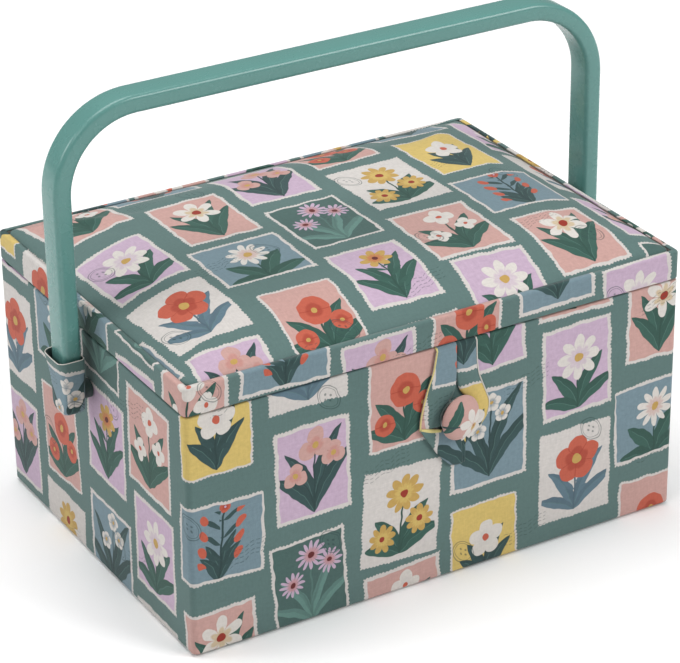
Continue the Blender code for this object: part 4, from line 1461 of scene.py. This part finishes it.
@dataclass
class LidFrame(SubAssembly):
    """The lid's frame: its printed cloth, its lining and the lid's lining."""

    cloth: float = 0.8 * MM
    corner: float = 3.5 * MM
    top_fold: float = 3.5 * MM
    top_edge: float = 1.4 * MM
    under_fold: float = 4.4 * MM
    under_edge: float = 0.8 * MM
    print_shift: Pair = (0.243, 0.187)
    lining_corner: float = 0.6 * MM
    lining_fold: float = 0.9 * MM
    lining_edge: float = 0.3 * MM

    def build(self) -> None:
        """Make the three pieces."""
        self.cover()
        self.rim_lining()
        self.ceiling()

    def cover(self) -> None:
        """Make the cloth round the frame."""
        low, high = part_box("lid_rim_cover")
        wrap = Wrap(low.z, high.z, high.x, high.y, self.corner, self.top_fold, self.under_fold,
                    self.top_edge, self.under_edge, self.print_shift)
        piece = self.shown("lid_rim_cloth", wrap.shape(), self.finishes.print, Slot.PRINT,
                           self.cloth)
        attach(piece, Body.LID.value)
        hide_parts("lid_rim_cover")
        wrap.round_length()

    def rim_lining(self) -> None:
        """Make the lining round the inside of the frame."""
        low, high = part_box("rim_lining")
        wrap = Wrap(low.z, high.z, high.x, high.y, self.lining_corner, self.lining_fold,
                    self.lining_fold, self.lining_edge, self.lining_edge, corner_steps=2,
                    edge_steps=2)
        piece = self.shown("rim_lining_cloth", wrap.shape(), self.finishes.lining, Slot.LINING,
                           self.cloth)
        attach(piece, Body.LID.value)
        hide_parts("rim_lining")
        wrap.round_length()

    def ceiling(self) -> None:
        """Make the lining under the lid's board."""
        low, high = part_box("lid_lining")
        size = high - low

        def place(across: float, along: float) -> tuple[float, float, float]:
            """A point of the lining's face, which looks down when the lid is shut."""
            return high.x - across * size.x, low.y + along * size.y, low.z

        shape = woven(60, 44, place, (size.x, size.y))
        piece = self.shown("lid_lining_cloth", shape, self.finishes.lining, Slot.LINING, self.cloth)
        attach(piece, Body.LID.value)
        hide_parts("lid_lining")


@dataclass
class PaddedTop(SubAssembly):
    """The lid's padded top: printed cloth stretched over wadding and board, and turned under."""

    corner: float = 5 * MM
    shoulder: float = 45 * MM
    rise: float = 12.9 * MM
    dome: float = 1.2 * MM
    crisp: float = 4.0  # how sharply two slopes meet over a corner
    base: float = 167 * MM
    edge_step: float = 2 * MM  # between the first rows down the pad's edge
    turn_under: float = 12 * MM
    columns: int = 84
    rows: int = 60
    print_shift: Pair = (0.502, 0.318)
    pressure: float = 3.0
    swell: float = 1.2 * MM

    def build(self) -> None:
        """Make the pad."""
        low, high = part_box("lid_top_cover")
        shape = self.shape(high.x, high.y, low.z)
        piece = self.shown("lid_pad", shape, self.finishes.print, Slot.PRINT, crisp=70)
        swollen(piece, lambda point: point.z < self.base - MM / 2, self.pressure, self.swell)
        softened(piece)
        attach(piece, Body.LID.value)
        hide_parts("lid_top_cover", "lid_wadding")

    def height(self, x: float, y: float, half_x: float, half_y: float) -> float:
        """Work out how far the stretched cloth rises.

        Args:
            x: The place along the lid.
            y: The place across the lid.
            half_x: Half the pad's length.
            half_y: Half its width.

        Returns:
            The rise over the pad's lowest edge.
        """
        def shoulder(inside: float) -> float:
            """Share of the rise at a distance from one edge."""
            share = min(max(inside, 0.0) / self.shoulder, 1.0)
            return 1 - (1 - share) ** 2
        domed = (1 - (x / half_x) ** 2) * (1 - (y / half_y) ** 2)
        along, across = shoulder(half_x - abs(x)), shoulder(half_y - abs(y))
        if min(along, across) <= 0.005:
            return 0.0
        shared = (along ** -self.crisp + across ** -self.crisp - 1) ** (-1 / self.crisp)
        return self.rise * shared + self.dome * domed

    def plan(self, x: float, y: float, half_x: float, half_y: float) -> Pair:
        """Move a point of the plan in where the pad's corner is rounded.

        Args:
            x: Its place along the lid.
            y: Its place across the lid.
            half_x: Half the pad's length.
            half_y: Half its width.

        Returns:
            Its place on the rounded plan.
        """
        over_x, over_y = abs(x) - (half_x - self.corner), abs(y) - (half_y - self.corner)
        if min(over_x, over_y) <= 0:
            return x, y
        share_x, share_y = over_x / self.corner, over_y / self.corner
        moved_x = half_x - self.corner + over_x * math.sqrt(1 - share_y * share_y / 2)
        moved_y = half_y - self.corner + over_y * math.sqrt(1 - share_x * share_x / 2)
        return math.copysign(moved_x, x), math.copysign(moved_y, y)

    def shape(self, half_x: float, half_y: float, low: float) -> BMesh:
        """Build the cloth before it swells.

        Args:
            half_x: Half its length.
            half_y: Half its width.
            low: Its lowest height, under the board.

        Returns:
            The cloth, closed underneath.
        """
        made = bmesh.new()
        bmesh.ops.create_grid(made, x_segments=self.columns, y_segments=self.rows, size=0.5)
        flat = made.verts.layers.float_vector.new("flat")
        for vert in made.verts:
            share_x, share_y = 2 * vert.co.x, 2 * vert.co.y
            plan_x, plan_y = half_x * share_x, half_y * share_y
            vert[flat] = (plan_x + self.stretch(plan_x, half_x),
                          plan_y + self.stretch(plan_y, half_y), 0.0)
            rise = self.height(plan_x, plan_y, half_x, half_y)
            vert.co = (*self.plan(plan_x, plan_y, half_x, half_y), self.base + rise)
        edges = [edge for edge in made.edges if edge.is_boundary]
        rest = low - self.base + 2 * self.edge_step
        for level in (-self.edge_step, -self.edge_step, rest):
            edges = drawn_out(made, edges, Matrix.Translation((0, 0, level)))
            for vert in {vert for edge in edges for vert in edge.verts}:
                out_x, out_y = vert.co.x / half_x, vert.co.y / half_y
                flat_x, flat_y, _ = vert[flat]
                if abs(out_x) > abs(out_y):
                    flat_x -= math.copysign(level, out_x) * math.copysign(1, level)
                else:
                    flat_y -= math.copysign(level, out_y) * math.copysign(1, level)
                vert[flat] = (flat_x, flat_y, 0.0)
        inward = Matrix.Diagonal((1 - self.turn_under / half_x, 1 - self.turn_under / half_y, 1, 1))
        closed(made, drawn_out(made, edges, inward))
        bmesh.ops.recalc_face_normals(made, faces=made.faces)
        laid(made, lambda corner: (corner.vert[flat][0] + self.print_shift[0],
                                   corner.vert[flat][1] + self.print_shift[1]))
        made.verts.layers.float_vector.remove(flat)
        return made

    def stretch(self, along: float, half: float) -> float:
        """Work out how much longer the cloth is than the plan, because it goes down the edge.

        Args:
            along: The place in the plan, from the pad's middle.
            half: Half the pad's size.

        Returns:
            The extra length from the middle to that place.
        """
        inside = min((half - abs(along)) / self.shoulder, 1.0)
        extra, steps = 0.0, 12
        for step in range(steps):
            here = inside + (1 - inside) * (step + 0.5) / steps
            slope = 2 * (1 - here) * self.rise / self.shoulder
            extra += (math.sqrt(1 + slope * slope) - 1) * (1 - inside) / steps * self.shoulder
        return math.copysign(extra, along)

@dataclass
class LidFittings(SubAssembly):
    """What is sewn to the lid's lining: the pincushion, the gathered pocket and its elastic."""

    gathers: int = 17
    fullness: float = 1.25  # how much wider the pocket's cloth is than the pocket
    pocket_corner: float = 8 * MM
    pocket_cloth: float = 0.5 * MM
    ruffles: int = 52
    band: float = 1.1 * MM
    slim: float = 1.2 * MM  # how much smaller the pincushion starts than it ends
    deep: float = 4.5 * MM
    cuts: int = 14
    pressure: float = 9.0
    swell: float = 6.5 * MM

    def build(self) -> None:
        """Make the three pieces."""
        self.pincushion()
        self.pocket()
        self.elastic()

    def pincushion(self) -> None:
        """Make the stuffed pincushion, which hangs from the lining when the lid is shut."""
        low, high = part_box("pincushion")
        slim = Vector((self.slim, self.slim, 0))
        start = Vector((low.x, low.y, high.z - self.deep)) + slim
        shape = rounded_block(start, high - slim, self.slim, 1)
        bmesh.ops.subdivide_edges(shape, edges=list(shape.edges), cuts=self.cuts,
                                  use_grid_fill=True)
        lay_plan(shape)
        piece = self.shown("pincushion_cloth", shape, self.finishes.pincushion, Slot.PINCUSHION,
                           crisp=80)
        sewn = high.z - 0.6 * MM
        swollen(piece, lambda point: point.z > sewn, self.pressure, self.swell)
        softened(piece)
        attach(piece, Body.LID.value)
        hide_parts("pincushion")

    def pocket(self) -> None:
        """Make the pocket: flat at its foot, and gathered where the elastic draws its mouth in."""
        low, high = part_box("lid_pocket")
        corner = self.pocket_corner
        wide, deep = high.x - low.x, high.y - low.y

        def place(across: float, along: float) -> tuple[float, float, float]:
            """A point of the pocket's face, which looks down when the lid is shut.

            Args:
                across: Its share of the way across.
                along: Its share of the way along.

            Returns:
                The point.
            """
            y = low.y + along * deep
            over = max(0.0, (y - (high.y - corner)) / corner)
            narrow = corner * (1 - math.sqrt(max(0.0, 1 - over * over)))
            x = high.x - narrow - across * (wide - 2 * narrow)
            uneven = 0.6 * math.sin(across * 23.0)
            wave = math.sin(across * self.gathers * 2 * math.pi + uneven)
            swell = min(1.0, min(across, 1 - across, 1 - along) * 9.0)
            gathered = (0.55 + 0.55 * wave) * (1 - along) ** 1.6 * swell * 1.6
            return x, y, high.z - (0.7 + 0.5 * swell + gathered) * MM

        flat = (wide * self.fullness, deep)
        shape = woven(170, 44, place, flat)
        piece = self.shown("pocket_cloth", shape, self.finishes.lining, Slot.LINING,
                           self.pocket_cloth)
        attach(piece, Body.LID.value)
        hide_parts("lid_pocket")

    def elastic(self) -> None:
        """Make the elastic along the pocket's mouth, with small ruffles."""
        low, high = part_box("pocket_elastic")
        wide, deep = high.x - low.x, high.y - low.y

        def place(across: float, along: float) -> tuple[float, float, float]:
            """A point of the elastic's face.

            Args:
                across: Its share of the way across.
                along: Its share of the way along.

            Returns:
                The point.
            """
            edge = 0.25 + 0.3 * abs(2 * along - 1) ** 3
            ruffle = math.sin(across * self.ruffles * 2 * math.pi) * edge
            return high.x - across * wide, low.y + along * deep, high.z - (1.7 + ruffle) * MM

        shape = woven(420, 8, place, (wide, deep))
        piece = self.shown("pocket_elastic_band", shape, self.finishes.elastic, Slot.ELASTIC,
                           self.band)
        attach(piece, Body.LID.value)
        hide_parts("pocket_elastic")


@dataclass
class Bail(SubAssembly):
    """The moulded handle: a strap that goes up one side, across and down the other."""

    outer_bend: float = 52 * MM
    edge: float = 2.7 * MM
    end_edge: float = 1.4 * MM
    thickness: float = 10.8 * MM
    bend_steps: int = 28

    def build(self) -> None:
        """Make the handle."""
        low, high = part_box("handle")
        shape = bmesh.new()
        half, bend = self.thickness / 2, self.outer_bend
        middle, start = high.x - bend, high.z - bend
        foot = Matrix.Translation((half - high.x, 0, low.z))
        edges = rounded_ring(shape, half, high.y, self.edge, 5, foot)
        edges = drawn_out(shape, edges, Matrix.Translation((0, 0, start - low.z)))
        edges = self.bend(shape, edges, (-middle, 0, start))
        edges = drawn_out(shape, edges, Matrix.Translation((2 * middle, 0, 0)))
        edges = self.bend(shape, edges, (middle, 0, start))
        drawn_out(shape, edges, Matrix.Translation((0, 0, low.z - start)))
        bmesh.ops.remove_doubles(shape, verts=shape.verts, dist=MM / 1000)
        rims = [edge for edge in shape.edges if edge.is_boundary]
        bmesh.ops.holes_fill(shape, edges=rims, sides=0)
        bevelled(shape, at_height(shape.edges, low.z), self.end_edge, 4)
        bmesh.ops.recalc_face_normals(shape, faces=shape.faces)
        piece = self.shown("bail_handle", shape, self.finishes.handle, Slot.HANDLE, crisp=50)
        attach(piece, Body.BAIL.value)
        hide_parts("handle")

    def bend(self, shape: BMesh, edges: list[BMEdge],
             centre: Sequence[float]) -> list[BMEdge]:
        """Carry the strap's section a quarter turn round a bend.

        Args:
            shape: The handle's mesh.
            edges: The section.
            centre: The middle of the bend.

        Returns:
            The section after the bend.
        """
        geom = edges + list(dict.fromkeys(vert for edge in edges for vert in edge.verts))
        made = bmesh.ops.spin(shape, geom=geom, cent=centre, axis=(0, 1, 0), angle=math.pi / 2,
                              steps=self.bend_steps, use_merge=False,
                              use_duplicate=False)["geom_last"]
        return [one for one in made if isinstance(one, BMEdge)]


@dataclass(frozen=True)
class Ring:
    """One level outline of a sleeve."""

    middle: float  # how far out from the basket's middle it is
    level: float
    wide: float
    deep: float


@dataclass
class Sleeves(SubAssembly):
    """The printed cloth sleeves over the handle's lower ends, with their folded mouths."""

    cloth: float = 1.0 * MM
    gap: float = 0.35 * MM
    strap: float = 10.8 * MM
    corner: float = 4.6 * MM
    flare_height: float = 22 * MM
    flare_out: float = 3 * MM
    flare_in: float = 0.6 * MM
    flare_side: float = 1.5 * MM
    round_end: float = 5.4 * MM
    end_taper: float = 1.6 * MM
    falls: tuple[float, ...] = (0, 0.15, 0.3, 0.45, 0.6, 0.8, 1.0)  # down the flare, as shares
    end_turns: tuple[int, ...] = (0, 22, 45, 68, 82)  # round the end, in degrees
    left_shift: Pair = (0.427, 0.464)
    right_shift: Pair = (0.11, 0.464)
    dip: float = 0.9 * MM  # of the mouth's middle
    uneven: float = 0.25 * MM

    def build(self) -> None:
        """Make the sleeve of each side."""
        self.sleeve("left", -1, self.left_shift)
        self.sleeve("right", 1, self.right_shift)

    def sleeve(self, name: str, side: int, shift: Pair) -> None:
        """Make one side's sleeve.

        Args:
            name: The side's name.
            side: -1 on the left and 1 on the right.
            shift: Where the middle of its outer face lies on the print.
        """
        low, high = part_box(f"sleeve_{name}")
        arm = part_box("handle")[1]
        grow = self.gap + self.cloth
        rings = self.rings(low.z, high.z, arm.x, arm.y)
        mouth = rings[0]
        shape = bmesh.new()
        edges = rounded_ring(shape, mouth.wide / 2, mouth.deep / 2, self.corner, 5,
                             Matrix.Translation((side * mouth.middle, 0, mouth.level)))
        for before, after in zip(rings, rings[1:]):
            size = Matrix.Diagonal((after.wide / before.wide, after.deep / before.deep, 1, 1))
            moved = Matrix.Translation((side * (after.middle - before.middle), 0,
                                        after.level - before.level))
            place = moved @ about((side * before.middle, 0, before.level), size)
            edges = drawn_out(shape, edges, place)
        closed(shape, edges)
        bmesh.ops.recalc_face_normals(shape, faces=shape.faces)
        self.ruffle(shape, side, low.z, high.z)
        self.lay_side(shape, side, arm.x + grow, shift)
        piece = self.shown(f"sleeve_cloth_{name}", shape, self.finishes.print, Slot.PRINT,
                           self.cloth, 75)
        # The inner faces take the dark painted-shade cloth; the mouth's rim takes the hem.
        piece.data.materials.append(self.finishes.shade)
        piece.data.materials.append(self.finishes.hem)
        piece.modifiers["thickness"].material_offset = 1
        piece.modifiers["thickness"].material_offset_rim = 2
        softened(piece)
        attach(piece, Body.BAIL.value)
        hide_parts(f"sleeve_{name}")

    def rings(self, low: float, high: float, arm_out: float, half_y: float) -> list[Ring]:
        """List the sleeve's outlines, from its flared mouth down to its round end.

        Args:
            low: The sleeve's lowest height.
            high: Its highest.
            arm_out: How far out the handle's outer face is.
            half_y: Half the handle's depth.

        Returns:
            The outlines.
        """
        arm_in, grow = arm_out - self.strap, self.gap + self.cloth
        made = []
        for fall in self.falls:
            flare = (1 - fall) ** 2
            out = arm_out + grow + flare * self.flare_out
            inner = arm_in - grow - flare * self.flare_in
            made.append(Ring((out + inner) / 2, high - fall * self.flare_height, out - inner,
                             2 * (half_y + grow + flare * self.flare_side)))
        straight = made[-1]
        for degrees in self.end_turns:
            turn = math.radians(degrees)
            taper = 1 - math.cos(turn)
            made.append(Ring(straight.middle, low + self.round_end * (1 - math.sin(turn)),
                             straight.wide - 2 * self.end_taper * taper,
                             straight.deep - 2 * self.round_end * taper))
        return made

    def ruffle(self, shape: BMesh, side: int, low: float, high: float) -> None:
        """Make the sleeve's faces a little uneven, and its mouth dip in the middle.

        Args:
            shape: The sleeve.
            side: -1 on the left and 1 on the right.
            low: Its lowest height.
            high: Its highest.
        """
        for vert in shape.verts:
            share = (vert.co.z - low) / (high - low)
            vert.co.z -= self.dip * share ** 3 * math.cos(vert.co.y / (12 * MM) * math.pi / 2)
            ripple = math.sin(vert.co.z / (5.2 * MM) + vert.co.y / (7 * MM))
            vert.co.x += side * self.uneven * ripple

    def lay_side(self, shape: BMesh, side: int, outer: float,
                 shift: Pair) -> None:
        """Lay a sleeve on the uncut cloth, on round it from the middle of its outer face.

        Args:
            shape: The sleeve.
            side: -1 on the left and 1 on the right.
            outer: How far its outer face is from the basket's middle.
            shift: Where the middle of its outer face lies on the cloth.
        """
        half = max(vert.co.y for vert in shape.verts)
        deep = self.strap + 2 * (self.gap + self.cloth)

        def spot(corner: BMLoop) -> Pair:
            """Place a corner by the side that its face looks to.

            Args:
                corner: The face's corner.

            Returns:
                Its place on the cloth.
            """
            normal, point = corner.face.normal, corner.vert.co
            if abs(normal.y) > 0.7:
                run = math.copysign(half + outer - abs(point.x), normal.y)
            elif normal.x * side < -0.5:
                run = -(2 * half + deep + point.y)
            else:
                run = point.y
            return run * side + shift[0], point.z + shift[1]

        laid(shape, spot)


# The edges of the loop's strap, along the basket and up, in millimetres.
Edge = tuple[Pair, ...]
LOOP_LEFT: Edge = (
    (-4.6, 149.2), (-5.5, 144.6), (-7.3, 135.2), (-10.4, 127.0), (-13.2, 117.5), (-15.3, 108.8),
    (-15.9, 101.2))
OPENING_LEFT: Edge = (
    (8.3, 149.2), (8.3, 144.6), (8.2, 135.2), (8.0, 127.0), (6.4, 119.0), (0.6, 111.0),
    (-2.2, 100.5))
OPENING_RIGHT: Edge = (
    (8.4, 149.2), (8.4, 144.6), (8.4, 135.2), (8.7, 127.0), (10.6, 119.5), (16.2, 112.0),
    (17.4, 104.0), (16.2, 97.6), (12.6, 93.6), (8.4, 90.0))
LOOP_RIGHT: Edge = (
    (21.6, 149.2), (21.7, 144.6), (22.1, 135.2), (23.6, 126.0), (27.4, 116.0), (30.4, 107.0),
    (29.0, 99.5), (24.6, 93.6), (19.0, 89.2), (14.7, 84.5))
FOOT_LOW: Edge = (
    (-15.9, 101.6), (-12.5, 95.6), (-8.7, 89.8), (-4.9, 83.9), (0.8, 77.4), (5.0, 73.9),
    (11.9, 73.0))
FOOT_HIGH: Edge = (
    (-15.3, 102.2), (-9.0, 100.4), (-2.0, 98.4), (4.5, 95.0), (9.0, 91.5), (11.4, 87.0),
    (11.9, 80.0))
END_LEFT: Edge = ((9.5, 87.5), (9.5, 80.0), (9.5, 72.7))
END_RIGHT: Edge = ((14.9, 87.0), (14.9, 80.0), (14.6, 72.6))
FOLD_LOW: Edge = ((-15.6, 101.0), (-9.0, 98.0), (-2.4, 96.9))
FOLD_HIGH: Edge = ((-15.2, 102.6), (-9.0, 100.8), (-2.0, 98.8))


def beside(edge: Edge, away: float) -> Edge:
    """An edge moved along the basket by a distance, in millimetres."""
    return tuple((x + away, z) for x, z in edge)


class Strip(Enum):
    """What a run of the loop is made of: the place of its material among the loop's."""

    PRINT = 0
    PIPING = 1
    HEM = 2


@dataclass(frozen=True)
class Run:
    """One flat run of the loop's strap between two edges. Lengths are in millimetres."""

    first: Edge  # its left or lower edge
    second: Edge
    stand: float  # how far it lies in front of the wall's cloth
    puff: float  # how much further its middle comes out
    shift: Pair = (0.0, 0.0)  # of the object's origin on the print, in metres
    tucked: bool = False  # whether its start is tucked in between the box and the lid
    strip: Strip = Strip.PRINT


@dataclass
class Closure(SubAssembly):
    """The folded cloth loop that hangs from the lid, and the covered button that it goes over."""

    middle: float = 8 * MM
    face: float = -116.8 * MM
    thickness: float = 0.8 * MM
    strap_length: float = 180 * MM
    strap_width: float = 14 * MM
    bend_top: float = 149.4 * MM
    bend_foot: float = 146.4 * MM
    tuck: float = 2.6 * MM  # how far in the strap's starts are tucked
    tuck_level: float = 149.45 * MM
    button_radius: float = 13.6 * MM
    button_stand: float = 2.4 * MM
    button_steps: int = 48
    tilt: float = 10.0
    pleats: int = 19
    pleat: float = 0.18 * MM
    runs: tuple[Run, ...] = (
        Run(END_LEFT, END_RIGHT, 0.3, 0.1, (0.416, 0.4787)),
        Run(LOOP_LEFT, OPENING_LEFT, 1.1, 0.5, (0.4127, 0.2787), True),
        Run(OPENING_RIGHT, LOOP_RIGHT, 0.8, 0.5, (0.4216, 0.407), True),
        Run(FOOT_LOW, FOOT_HIGH, 1.75, 0.45, (0.416, 0.4787)),
        Run(beside(LOOP_LEFT, -0.3), beside(LOOP_LEFT, 0.8), 1.5, 0.35, tucked=True,
            strip=Strip.PIPING),
        Run(beside(LOOP_RIGHT[:7], -0.75), beside(LOOP_RIGHT[:7], 0.1), 1.1, 0.2, tucked=True,
            strip=Strip.HEM),
        Run(FOLD_LOW, FOLD_HIGH, 1.95, 0.3, strip=Strip.PIPING),
    )
    # The button's section, from its middle to the lip behind it: out and forward, in millimetres.
    profile: Edge = ((0.0, 7.4), (3.5, 7.2), (6.8, 6.5), (9.6, 5.4), (11.8, 4.0), (13.3, 2.5),
                     (14.0, 1.2), (13.7, 0.3), (12.6, -0.1), (11.6, 0.3), (11.3, 1.4))

    def build(self) -> None:
        """Make the loop and the button."""
        self.loop()
        self.button()

    def loop(self) -> None:
        """Make the loop: two legs side by side, folded to a corner at the left, and its foot."""
        shape = bmesh.new()
        shape.loops.layers.uv.new(FLAT)
        for run in self.runs:
            self.ribbon(shape, run)
        piece = self.shown("loop_cloth", shape, self.finishes.print, Slot.PRINT,
                           self.thickness, 60)
        piece.data.materials.append(self.finishes.piping)
        piece.data.materials.append(self.finishes.hem)
        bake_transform(piece)
        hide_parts("closure_loop")

    def ribbon(self, shape: BMesh, run: Run) -> None:
        """Add one run of the strap.

        Args:
            shape: The loop's mesh.
            run: The run.
        """
        rows = 5 * (len(run.first) - 1)
        columns = 10 if run.strip is Strip.PRINT else 3
        verts = bmesh.ops.create_grid(shape, x_segments=columns, y_segments=rows, size=0.5)["verts"]
        for vert in verts:
            across, along = vert.co.x + 0.5, vert.co.y + 0.5
            out = self.on_path(run.first, along).lerp(self.on_path(run.second, along), across)
            bulge = run.puff * math.sqrt(max(0.0, 1 - (2 * across - 1) ** 2))
            vert.co = (out.x * MM, self.face - (run.stand + bulge) * MM, out.y * MM)
            if run.tucked and along < 0.1 / rows:
                vert.co.y, vert.co.z = self.face + self.tuck, self.tuck_level
            elif run.tucked and along < 1.2 / rows:
                vert.co.y, vert.co.z = self.face - 0.2 * MM, self.bend_top
        layer = shape.loops.layers.uv[FLAT]
        faces = {face for vert in verts for face in vert.link_faces}
        for face in faces:
            face.material_index = run.strip.value
            for corner in face.loops:
                spot = corner.vert.co
                corner[layer].uv = (spot.x + run.shift[0], spot.z + run.shift[1])
        shape.normal_update()
        bmesh.ops.reverse_faces(shape, faces=[face for face in faces if face.normal.y > 0])

    @staticmethod
    def on_path(points: Edge, share: float) -> Vector:
        """Find a point on a smooth line through given points.

        Args:
            points: The given points.
            share: How far along the line it is, from 0 to 1.

        Returns:
            The point.
        """
        run = share * (len(points) - 1)
        first = min(int(run), len(points) - 2)
        part = run - first
        near = [Vector(points[min(max(first + step, 0), len(points) - 1)])
                for step in (-1, 0, 1, 2)]
        square, cube = part * part, part ** 3
        lead, trail = (near[2] - near[0]) / 2, (near[3] - near[1]) / 2
        return (near[1] * (2 * cube - 3 * square + 1) + lead * (cube - 2 * square + part)
                + near[2] * (3 * square - 2 * cube) + trail * (cube - square))

    def button(self) -> None:
        """Make the covered button: cloth pulled over a dome, turned a little on its shank."""
        low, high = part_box("button_shell")
        radius = self.button_radius
        widest = max(out for out, _ in self.profile) * MM
        shape = bmesh.new()
        verts = [shape.verts.new((out * MM * radius / widest, -forward * MM, 0))
                 for out, forward in self.profile]
        edges = [shape.edges.new(pair) for pair in zip(verts, verts[1:])]
        bmesh.ops.spin(shape, geom=verts + edges, cent=(0, 0, 0), axis=(0, 1, 0),
                       angle=2 * math.pi, steps=self.button_steps, use_merge=True,
                       use_duplicate=False)
        bmesh.ops.remove_doubles(shape, verts=shape.verts, dist=MM / 200)
        closed(shape, [edge for edge in shape.edges if edge.is_boundary])
        bmesh.ops.recalc_face_normals(shape, faces=shape.faces)
        for vert in shape.verts:
            away = math.hypot(vert.co.x, vert.co.z)
            angle = math.atan2(vert.co.z, vert.co.x)
            gathered = max(0.0, away / radius - 0.85) * 6.0
            vert.co.y += self.pleat * gathered * math.sin(angle * self.pleats)
        lay_plan(shape, axes=(0, 2))
        place = Matrix.Translation(
            ((low.x + high.x) / 2, high.y - self.button_stand, (low.z + high.z) / 2))
        turn = Matrix.Rotation(math.radians(self.tilt), 4, "Z")
        bmesh.ops.transform(shape, matrix=place @ turn, verts=shape.verts)
        piece = self.shown("button_cloth_cap", shape, self.finishes.button, Slot.BUTTON, crisp=80)
        softened(piece)
        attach(piece, Body.BOX.value)
        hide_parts("button_shell")


@dataclass
class Hinge(SubAssembly):
    """The cloth strip glued inside the back, which the lid turns on."""

    cloth: float = 0.7 * MM
    bend_low: float = 147.9 * MM
    bend_high: float = 151.0 * MM
    print_shift: Pair = (0.13, 0.52)

    def build(self) -> None:
        """Make the strip."""
        low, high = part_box("hinge_strip")
        wide, tall = high.x - low.x, high.z - low.z

        def place(across: float, along: float) -> tuple[float, float, float]:
            """A point of the strip's outer face."""
            return high.x - across * wide, high.y, low.z + along * tall

        shape = woven(60, 40, place, (wide, tall), self.print_shift)
        piece = self.shown("hinge_cloth", shape, self.finishes.print, Slot.PRINT, self.cloth)
        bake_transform(piece)
        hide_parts("hinge_strip")


@dataclass
class Hardware(SubAssembly):
    """The boards and the metal and plastic fastenings, which keep their CAD shapes."""

    boards: tuple[str, ...] = ("base", "front", "back", "left", "right", "rim_front", "rim_back",
                               "rim_left", "rim_right", "lid")
    fastenings: tuple[str, ...] = (
        "pivot_screw_left", "pivot_screw_right", "pivot_nut_left", "pivot_nut_right",
        "button_back", "button_washer")
    bushes: tuple[str, ...] = ("pivot_bush_left", "pivot_bush_right")
    fastening_edge: float = 0.2 * MM
    bush_edge: float = 0.25 * MM

    def build(self) -> None:
        """Dress the nodes."""
        for name in self.boards:
            dress(f"{name}_board", self.finishes.board)
        for node in self.fastenings:
            dress(node, self.finishes.zinc, self.fastening_edge)
        # The bushes' colour is partly painted shade: dark so that they pass for the shadow beside
        # the sleeves.
        for node in self.bushes:
            dress(node, self.finishes.bush, self.bush_edge)


@dataclass
class Studio:
    """The floor, the light and the camera."""

    floor_size: float = 8.0
    backdrop: float = 0.24
    sensor: float = 36.0
    lens: float = 152.49
    place: tuple[float, float, float] = (-0.751805, -1.302448, 0.874991)
    right: tuple[float, float, float] = (0.86217, -0.506471, -0.012243)
    down: tuple[float, float, float] = (-0.239601, -0.386344, -0.890691)
    ahead: tuple[float, float, float] = (0.446379, 0.77086, -0.454445)
    aim: tuple[float, float, float] = (0, 0, 0.12)  # what the lights look at

    def build(self) -> None:
        """Set the stage."""
        scene = bpy.context.scene
        scene.view_settings.view_transform = "Standard"
        self.floor()
        self.world(scene)
        for name, place, size, power in (("key", (1.5, -2.1, 1.9), 1.5, 57.0),
                                         ("top", (-0.2, 0.5, 2.8), 2.0, 55.0),
                                         ("side", (-2.4, 1.2, 1.5), 1.1, 26.0),
                                         ("sheen", (-2.0, -1.0, 2.1), 0.8, 10.0)):
            self.light(name, place, size, power)
        self.camera(scene)

    def floor(self) -> None:
        """The pale floor."""
        shape = bmesh.new()
        bmesh.ops.create_grid(shape, x_segments=4, y_segments=4, size=self.floor_size / 2)
        mesh = bpy.data.meshes.new("floor")
        shape.to_mesh(mesh)
        shape.free()
        mesh.materials.append(PaleFloor().make())
        made = bpy.data.objects.new("floor", mesh)
        bpy.context.scene.collection.objects.link(made)

    def world(self, scene: Scene) -> None:
        """Light the scene evenly from all round.

        Args:
            scene: The scene.
        """
        world = bpy.data.worlds.new("studio")
        world.use_nodes = True
        backdrop = world.node_tree.nodes["Background"]
        backdrop.inputs["Color"].default_value = (1.0, 1.0, 1.0, 1.0)
        backdrop.inputs["Strength"].default_value = self.backdrop
        scene.world = world

    def light(self, name: str, place: tuple[float, float, float], size: float,
              power: float) -> None:
        """Hang a soft square light that looks at the basket.

        Args:
            name: The light's name.
            place: Where it hangs.
            size: Its width.
            power: Its power, in watts.
        """
        data = bpy.data.lights.new(name, "AREA")
        data.energy = power
        data.size = size
        made = bpy.data.objects.new(name, data)
        made.location = place
        aim = Vector(self.aim) - Vector(place)
        made.rotation_mode = "QUATERNION"
        made.rotation_quaternion = aim.to_track_quat("-Z", "Y")
        bpy.context.scene.collection.objects.link(made)

    def camera(self, scene: Scene) -> None:
        """Set the camera at the photograph's place.

        Args:
            scene: The scene.
        """
        data = bpy.data.cameras.new("camera")
        data.sensor_width = self.sensor
        data.sensor_fit = "HORIZONTAL"
        data.lens = self.lens
        data.clip_start, data.clip_end = 0.05, 50.0
        made = bpy.data.objects.new("camera", data)
        columns = (Vector(self.right), -Vector(self.down), -Vector(self.ahead))
        turn = Matrix([[column[row] for column in columns] for row in range(3)])
        made.matrix_world = Matrix.Translation(self.place) @ turn.to_4x4()
        scene.collection.objects.link(made)
        scene.camera = made


def main() -> None:
    """Build the basket from its sub-assemblies, and report each piece."""
    logging.basicConfig(level=logging.INFO, format="%(message)s")
    finishes = Finishes()
    for kind in (BoxShell, Interior, LidFrame, PaddedTop, LidFittings, Bail, Sleeves, Closure,
                 Hinge, Hardware):
        assembly = kind(finishes)
        assembly.build()
        names = [piece.name for piece in assembly.made]
        LOG.info("%s: %s", kind.__name__, ", ".join(names) or "CAD nodes")
    Studio().build()


if __name__ == "__main__":
    main()
